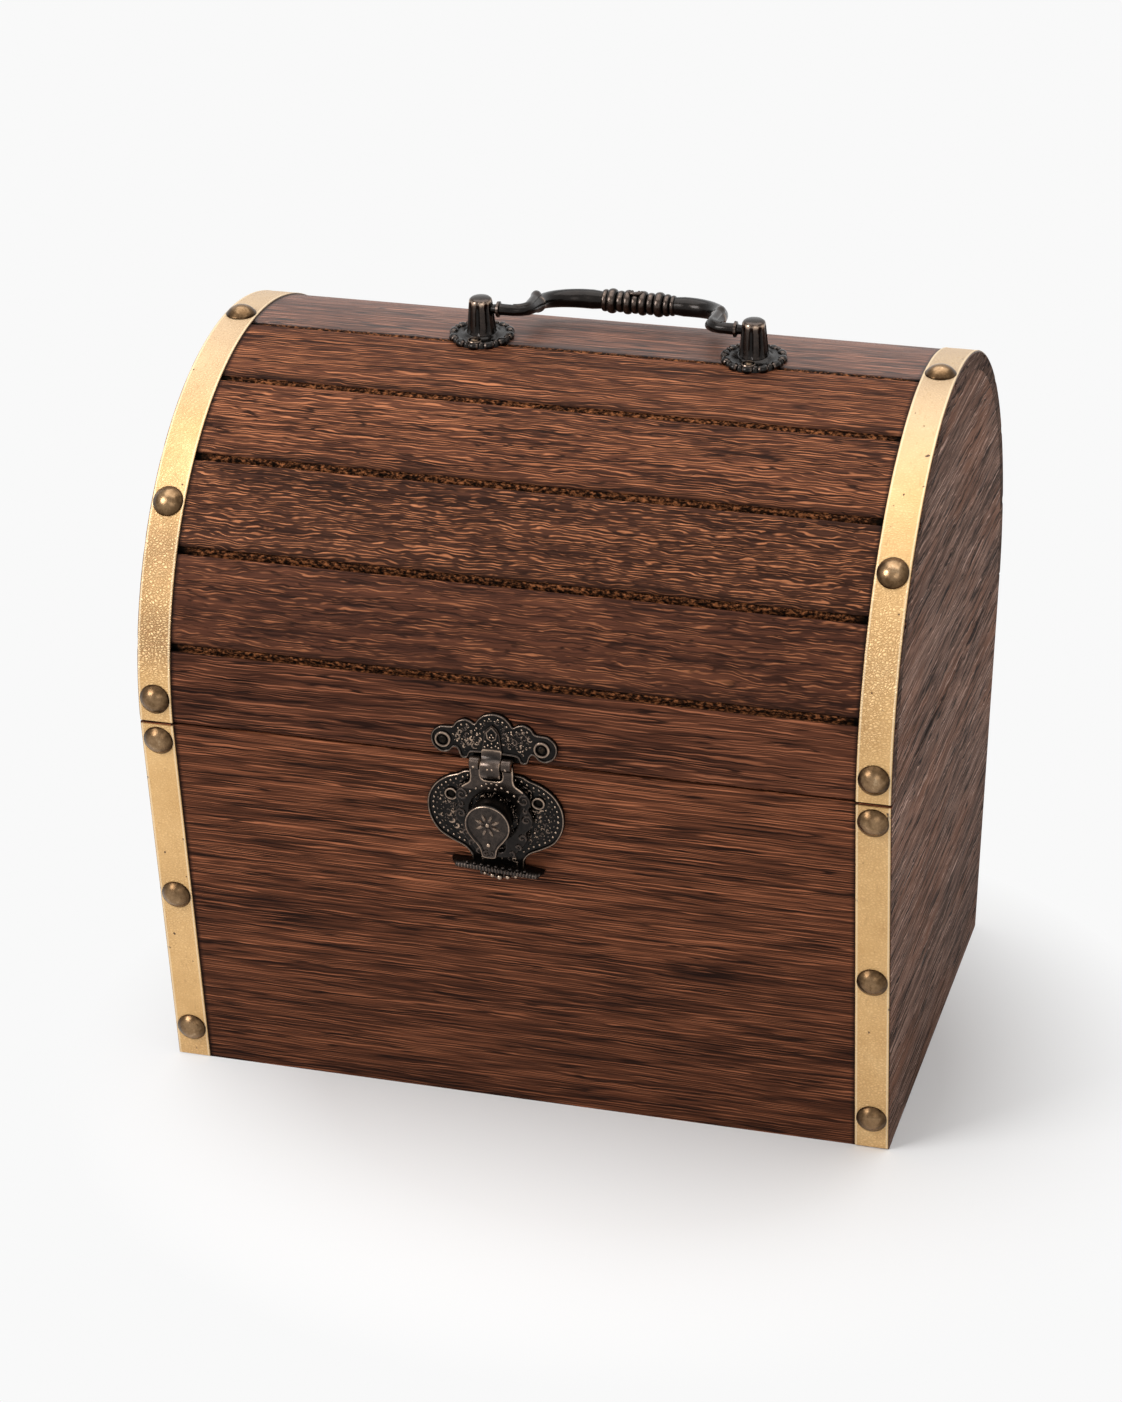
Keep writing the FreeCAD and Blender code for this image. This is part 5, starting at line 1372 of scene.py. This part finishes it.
# Each step has its distance along the line and its radius in mm; those of the leg have their wear too.
LEG_STEPS = (
    (0.4, 1.6, 0.3), (1.1, 1.8, 0.4), (1.4, 2.7, 0.75), (2.2, 2.8, 0.7), (2.5, 2.0, 0.4),
    (4.0, 1.95, 0.35), (7.0, 1.95, 0.35), (10.0, 1.95, 0.35), (13.0, 2.0, 0.35), (16.0, 2.1, 0.38),
    (19.0, 2.3, 0.4), (21.0, 2.5, 0.45), (22.4, 2.7, 0.6), (23.4, 3.0, 0.85), (24.2, 3.05, 0.8),
    (24.6, 2.6, 0.3),
)
GRIP_STEPS = (
    (22.0, 2.0), (24.0, 2.35), (27.0, 2.55), (31.0, 2.75), (36.0, 3.0), (41.0, 3.2), (46.0, 3.35),
    (50.0, 3.4), (54.0, 3.0), (65.5, 3.0),
)
GRIP_WEAR = 0.29
LEAF_START, LEAF_RUN, LEAF_STEPS = 7.0, 19.5, 14
LEAF_LIFT, LEAF_RISE = 0.0007, 0.0023
LEAF_WIDTH, LEAF_TAPER = 0.0015, 0.0001
CURL_SWELL, TIP_PINCH = 0.0004, 0.0007
# Each turned ring has its place along the grip, its radius and half its width in mm.
RINGS = (
    (-11.9, 3.9, 1.1), (-9.4, 4.4, 1.7), (-6.4, 3.8, 1.3), (-3.7, 4.3, 1.5), (-1.0, 3.9, 1.3),
    (1.6, 4.3, 1.5), (4.4, 3.9, 1.3), (7.4, 4.4, 1.7), (10.2, 3.9, 1.2), (12.3, 3.6, 0.9),
)
RING_STEPS, RING_CORE = 12, 2.7
KNOT_STEPS, KNOT_LINE = 14, 0.0006
KNOT_REACH, KNOT_DEPTH, KNOT_RISE, KNOT_DIP = 1.7, 0.0012, 0.0039, 0.0004
bail = Casting()
for sign in (1.0, -1.0):
    pin = [mirrored(Vector((x, 0, 0)), sign) for x in (PIN_END, STUB_END, STUB_END - 0.0008)]
    bail.tube(pin, [0.0016, 0.0016, 0.0017], [0.2] * 3, UPWARD, 20)
    leg = [mirrored(bail_line(distance * MM), sign) for distance, _, _ in LEG_STEPS]
    leg_wears = [wear - 0.08 for _, _, wear in LEG_STEPS]
    bail.tube(leg, [radius * MM for _, radius, _ in LEG_STEPS], leg_wears, UPWARD, 24)
    grip, widths = [], []
    for (start, thin), (stop, thick) in zip(GRIP_STEPS, GRIP_STEPS[1:]):
        for step in range(4):
            grip.append(mirrored(bail_line((start + (stop - start) * step / 4) * MM), sign))
            widths.append((thin + (thick - thin) * step / 4) * MM)
    bail.tube(grip, widths, [GRIP_WEAR] * len(grip), UPWARD, 24)
    leaf, leaf_widths, leaf_marks = [], [], []
    for step in range(LEAF_STEPS + 1):
        t = step / LEAF_STEPS
        point = bail_line((LEAF_START + LEAF_RUN * t) * MM)
        ahead = (bail_line((LEAF_START + 0.2 + LEAF_RUN * t) * MM) - point).normalized()
        outside = Vector((ahead.y, -ahead.x, 0.0))
        lift = LEAF_LIFT + LEAF_RISE * t ** 1.3
        curled = (CURL_SWELL if step > LEAF_STEPS - 3 else 0.0) - (TIP_PINCH if step == LEAF_STEPS else 0.0)
        leaf.append(mirrored(point + outside * lift * 0.25 + UPWARD * lift, sign))
        leaf_widths.append(LEAF_WIDTH - LEAF_TAPER * t + curled)
        leaf_marks.append(0.32 + 0.25 * t)
    bail.tube(leaf, leaf_widths, leaf_marks, UPWARD, 16)
ring_turns = [math.pi * step / RING_STEPS for step in range(RING_STEPS + 1)]
for place, radius, half in RINGS:
    profile = []
    for turn in ring_turns:
        swell = RING_CORE + (radius - RING_CORE) * math.sin(turn) ** 0.7
        profile.append((swell * MM, -half * MM * math.cos(turn)))
    ring_wears = [0.05 + 0.62 * math.sin(turn) ** 2 for turn in ring_turns]
    bail.lathe(Vector((place * MM, REACH, 0)), SIDEWAYS, profile, 32, ring_wears)
for start, hand in ((-3.2, 1.0), (1.2, -1.0)):
    knot = []
    for step in range(KNOT_STEPS + 1):
        angle = math.radians(200 * step / KNOT_STEPS - 10)
        x = (start + hand * KNOT_REACH * (1.0 - math.cos(angle))) * MM
        y = REACH - KNOT_DEPTH - KNOT_DEPTH * math.sin(angle)
        knot.append(Vector((x, y, KNOT_RISE - KNOT_DIP * math.sin(angle))))
    bail.tube(knot, [KNOT_LINE] * len(knot), [0.6] * len(knot), UPWARD, 10)
bail.piece("handle_bail_casting", BAIL_SEAT, HANDLE_BRONZE, "handle", "handle_bail", 50.0)


# Stand and light: a pale floor under soft studio light, with a large overhead panel, a key from the
# left and a weak fill from the front, and the camera at the height and angle of the photograph.
WHITE = 0.947
SKY_LIGHT = 0.42
FLOOR_REACH = 6.0
FLOOR_TONES = [(0.3, (0.775, 0.767, 0.762)), (0.7, (0.795, 0.787, 0.782))]
SHADOW_MIDDLE, SHADOW_NEAR, SHADOW_FAR = (0.03, -0.05, 0.0), 0.11, 0.205


def in_sight(tree):
    """1 on rays from the camera, a reflection or glass, and 0 on those that light the box."""
    paths = add_node(tree, "ShaderNodeLightPath").outputs
    bounced = sums(tree, "MAXIMUM", paths["Is Glossy Ray"], paths["Is Transmission Ray"])
    return sums(tree, "MAXIMUM", paths["Is Camera Ray"], bounced)


def pale_floor():
    """A matt white sweep: it keeps the box's shadow near the box and fades to plain white far off."""
    material, tree, shader = new_finish("pale_floor")
    place = add_node(tree, "ShaderNodeTexCoord").outputs["Object"]
    shader.inputs["Specular IOR Level"].default_value = 0.1
    wire(tree, shader, ramp(tree, speckle(tree, place, 3.0, 2.0), FLOOR_TONES), 0.9)
    offset = add_node(tree, "ShaderNodeVectorMath", {"operation": "SUBTRACT"})
    tree.links.new(place, offset.inputs[0])
    offset.inputs[1].default_value = SHADOW_MIDDLE
    far = add_node(tree, "ShaderNodeVectorMath", {"operation": "LENGTH"})
    tree.links.new(offset.outputs[0], far.inputs[0])
    white = add_node(tree, "ShaderNodeEmission", None, Color=(1.0, 1.0, 1.0, 1.0), Strength=WHITE)
    fade = stretch(tree, far.outputs["Value"], SHADOW_NEAR, SHADOW_FAR)
    mixed = add_node(tree, "ShaderNodeMixShader")
    tree.links.new(times(tree, fade, in_sight(tree)), mixed.inputs[0])
    tree.links.new(shader.outputs[0], mixed.inputs[1])
    tree.links.new(white.outputs[0], mixed.inputs[2])
    tree.links.new(mixed.outputs[0], tree.nodes["Material Output"].inputs["Surface"])
    return material


floor_mesh = bpy.data.meshes.new("pale_floor")
corners = [(x * FLOOR_REACH, y * FLOOR_REACH, 0) for x, y in ((-1, -1), (1, -1), (1, 1), (-1, 1))]
floor_mesh.from_pydata(corners, [], [(0, 1, 2, 3)])
floor_mesh.materials.append(pale_floor())
floor = bpy.data.objects.new("pale_floor", floor_mesh)
bpy.context.scene.collection.objects.link(floor)

world = bpy.data.worlds.new("studio")
bpy.context.scene.world = world
world.use_nodes = True
sky = world.node_tree
backdrop = sky.nodes["Background"]
backdrop.inputs["Color"].default_value = (1.0, 1.0, 1.0, 1.0)
sky.links.new(stretch(sky, in_sight(sky), 0.0, 1.0, SKY_LIGHT, WHITE), backdrop.inputs["Strength"])


def panel(name, place, target, size, power):
    """A soft rectangular light aimed at a point."""
    lamp = bpy.data.lights.new(name, "AREA")
    lamp.shape = "RECTANGLE"
    lamp.size, lamp.size_y = size
    lamp.energy = power
    holder = bpy.data.objects.new(name, lamp)
    holder.location = place
    holder.rotation_euler = (Vector(target) - Vector(place)).to_track_quat("-Z", "Y").to_euler()
    bpy.context.scene.collection.objects.link(holder)


panel("overhead_panel", (0.0, 0.10, 1.3), (0.0, 0.0, 0.1), (1.5, 1.3), 14.0)
panel("key_panel", (-0.58, -0.66, 0.66), (-0.04, -0.08, 0.13), (0.45, 0.45), 6.4)
panel("front_fill", (0.9, -1.8, 0.9), (0.0, 0.0, 0.12), (1.0, 0.8), 3.4)

AZIMUTH, ELEVATION, DISTANCE = math.radians(15.193), math.radians(24.639), 1.32602
AIM = Vector((0.00288, 0.0, 0.09823))
PHOTO_WIDTH, PHOTO_HEIGHT = 1122.0, 1402.0
FOCAL_LENGTH, LENS_MIDDLE = 3667.63, (598.02, 748.20)
FILM_HEIGHT = 36.0
level = math.cos(ELEVATION)
back = Vector((math.sin(AZIMUTH) * level, -math.cos(AZIMUTH) * level, math.sin(ELEVATION)))
lens = bpy.data.cameras.new("photo_camera")
lens.sensor_fit = "VERTICAL"
lens.sensor_height = FILM_HEIGHT
lens.lens = FOCAL_LENGTH / PHOTO_HEIGHT * FILM_HEIGHT
lens.shift_x = -(LENS_MIDDLE[0] - PHOTO_WIDTH / 2) / PHOTO_HEIGHT
lens.shift_y = (LENS_MIDDLE[1] - PHOTO_HEIGHT / 2) / PHOTO_HEIGHT
camera = bpy.data.objects.new("photo_camera", lens)
camera.location = AIM + back * DISTANCE
camera.rotation_euler = (-back).to_track_quat("-Z", "Y").to_euler()
bpy.context.scene.collection.objects.link(camera)
bpy.context.scene.camera = camera
bpy.context.scene.view_settings.view_transform = "Standard"
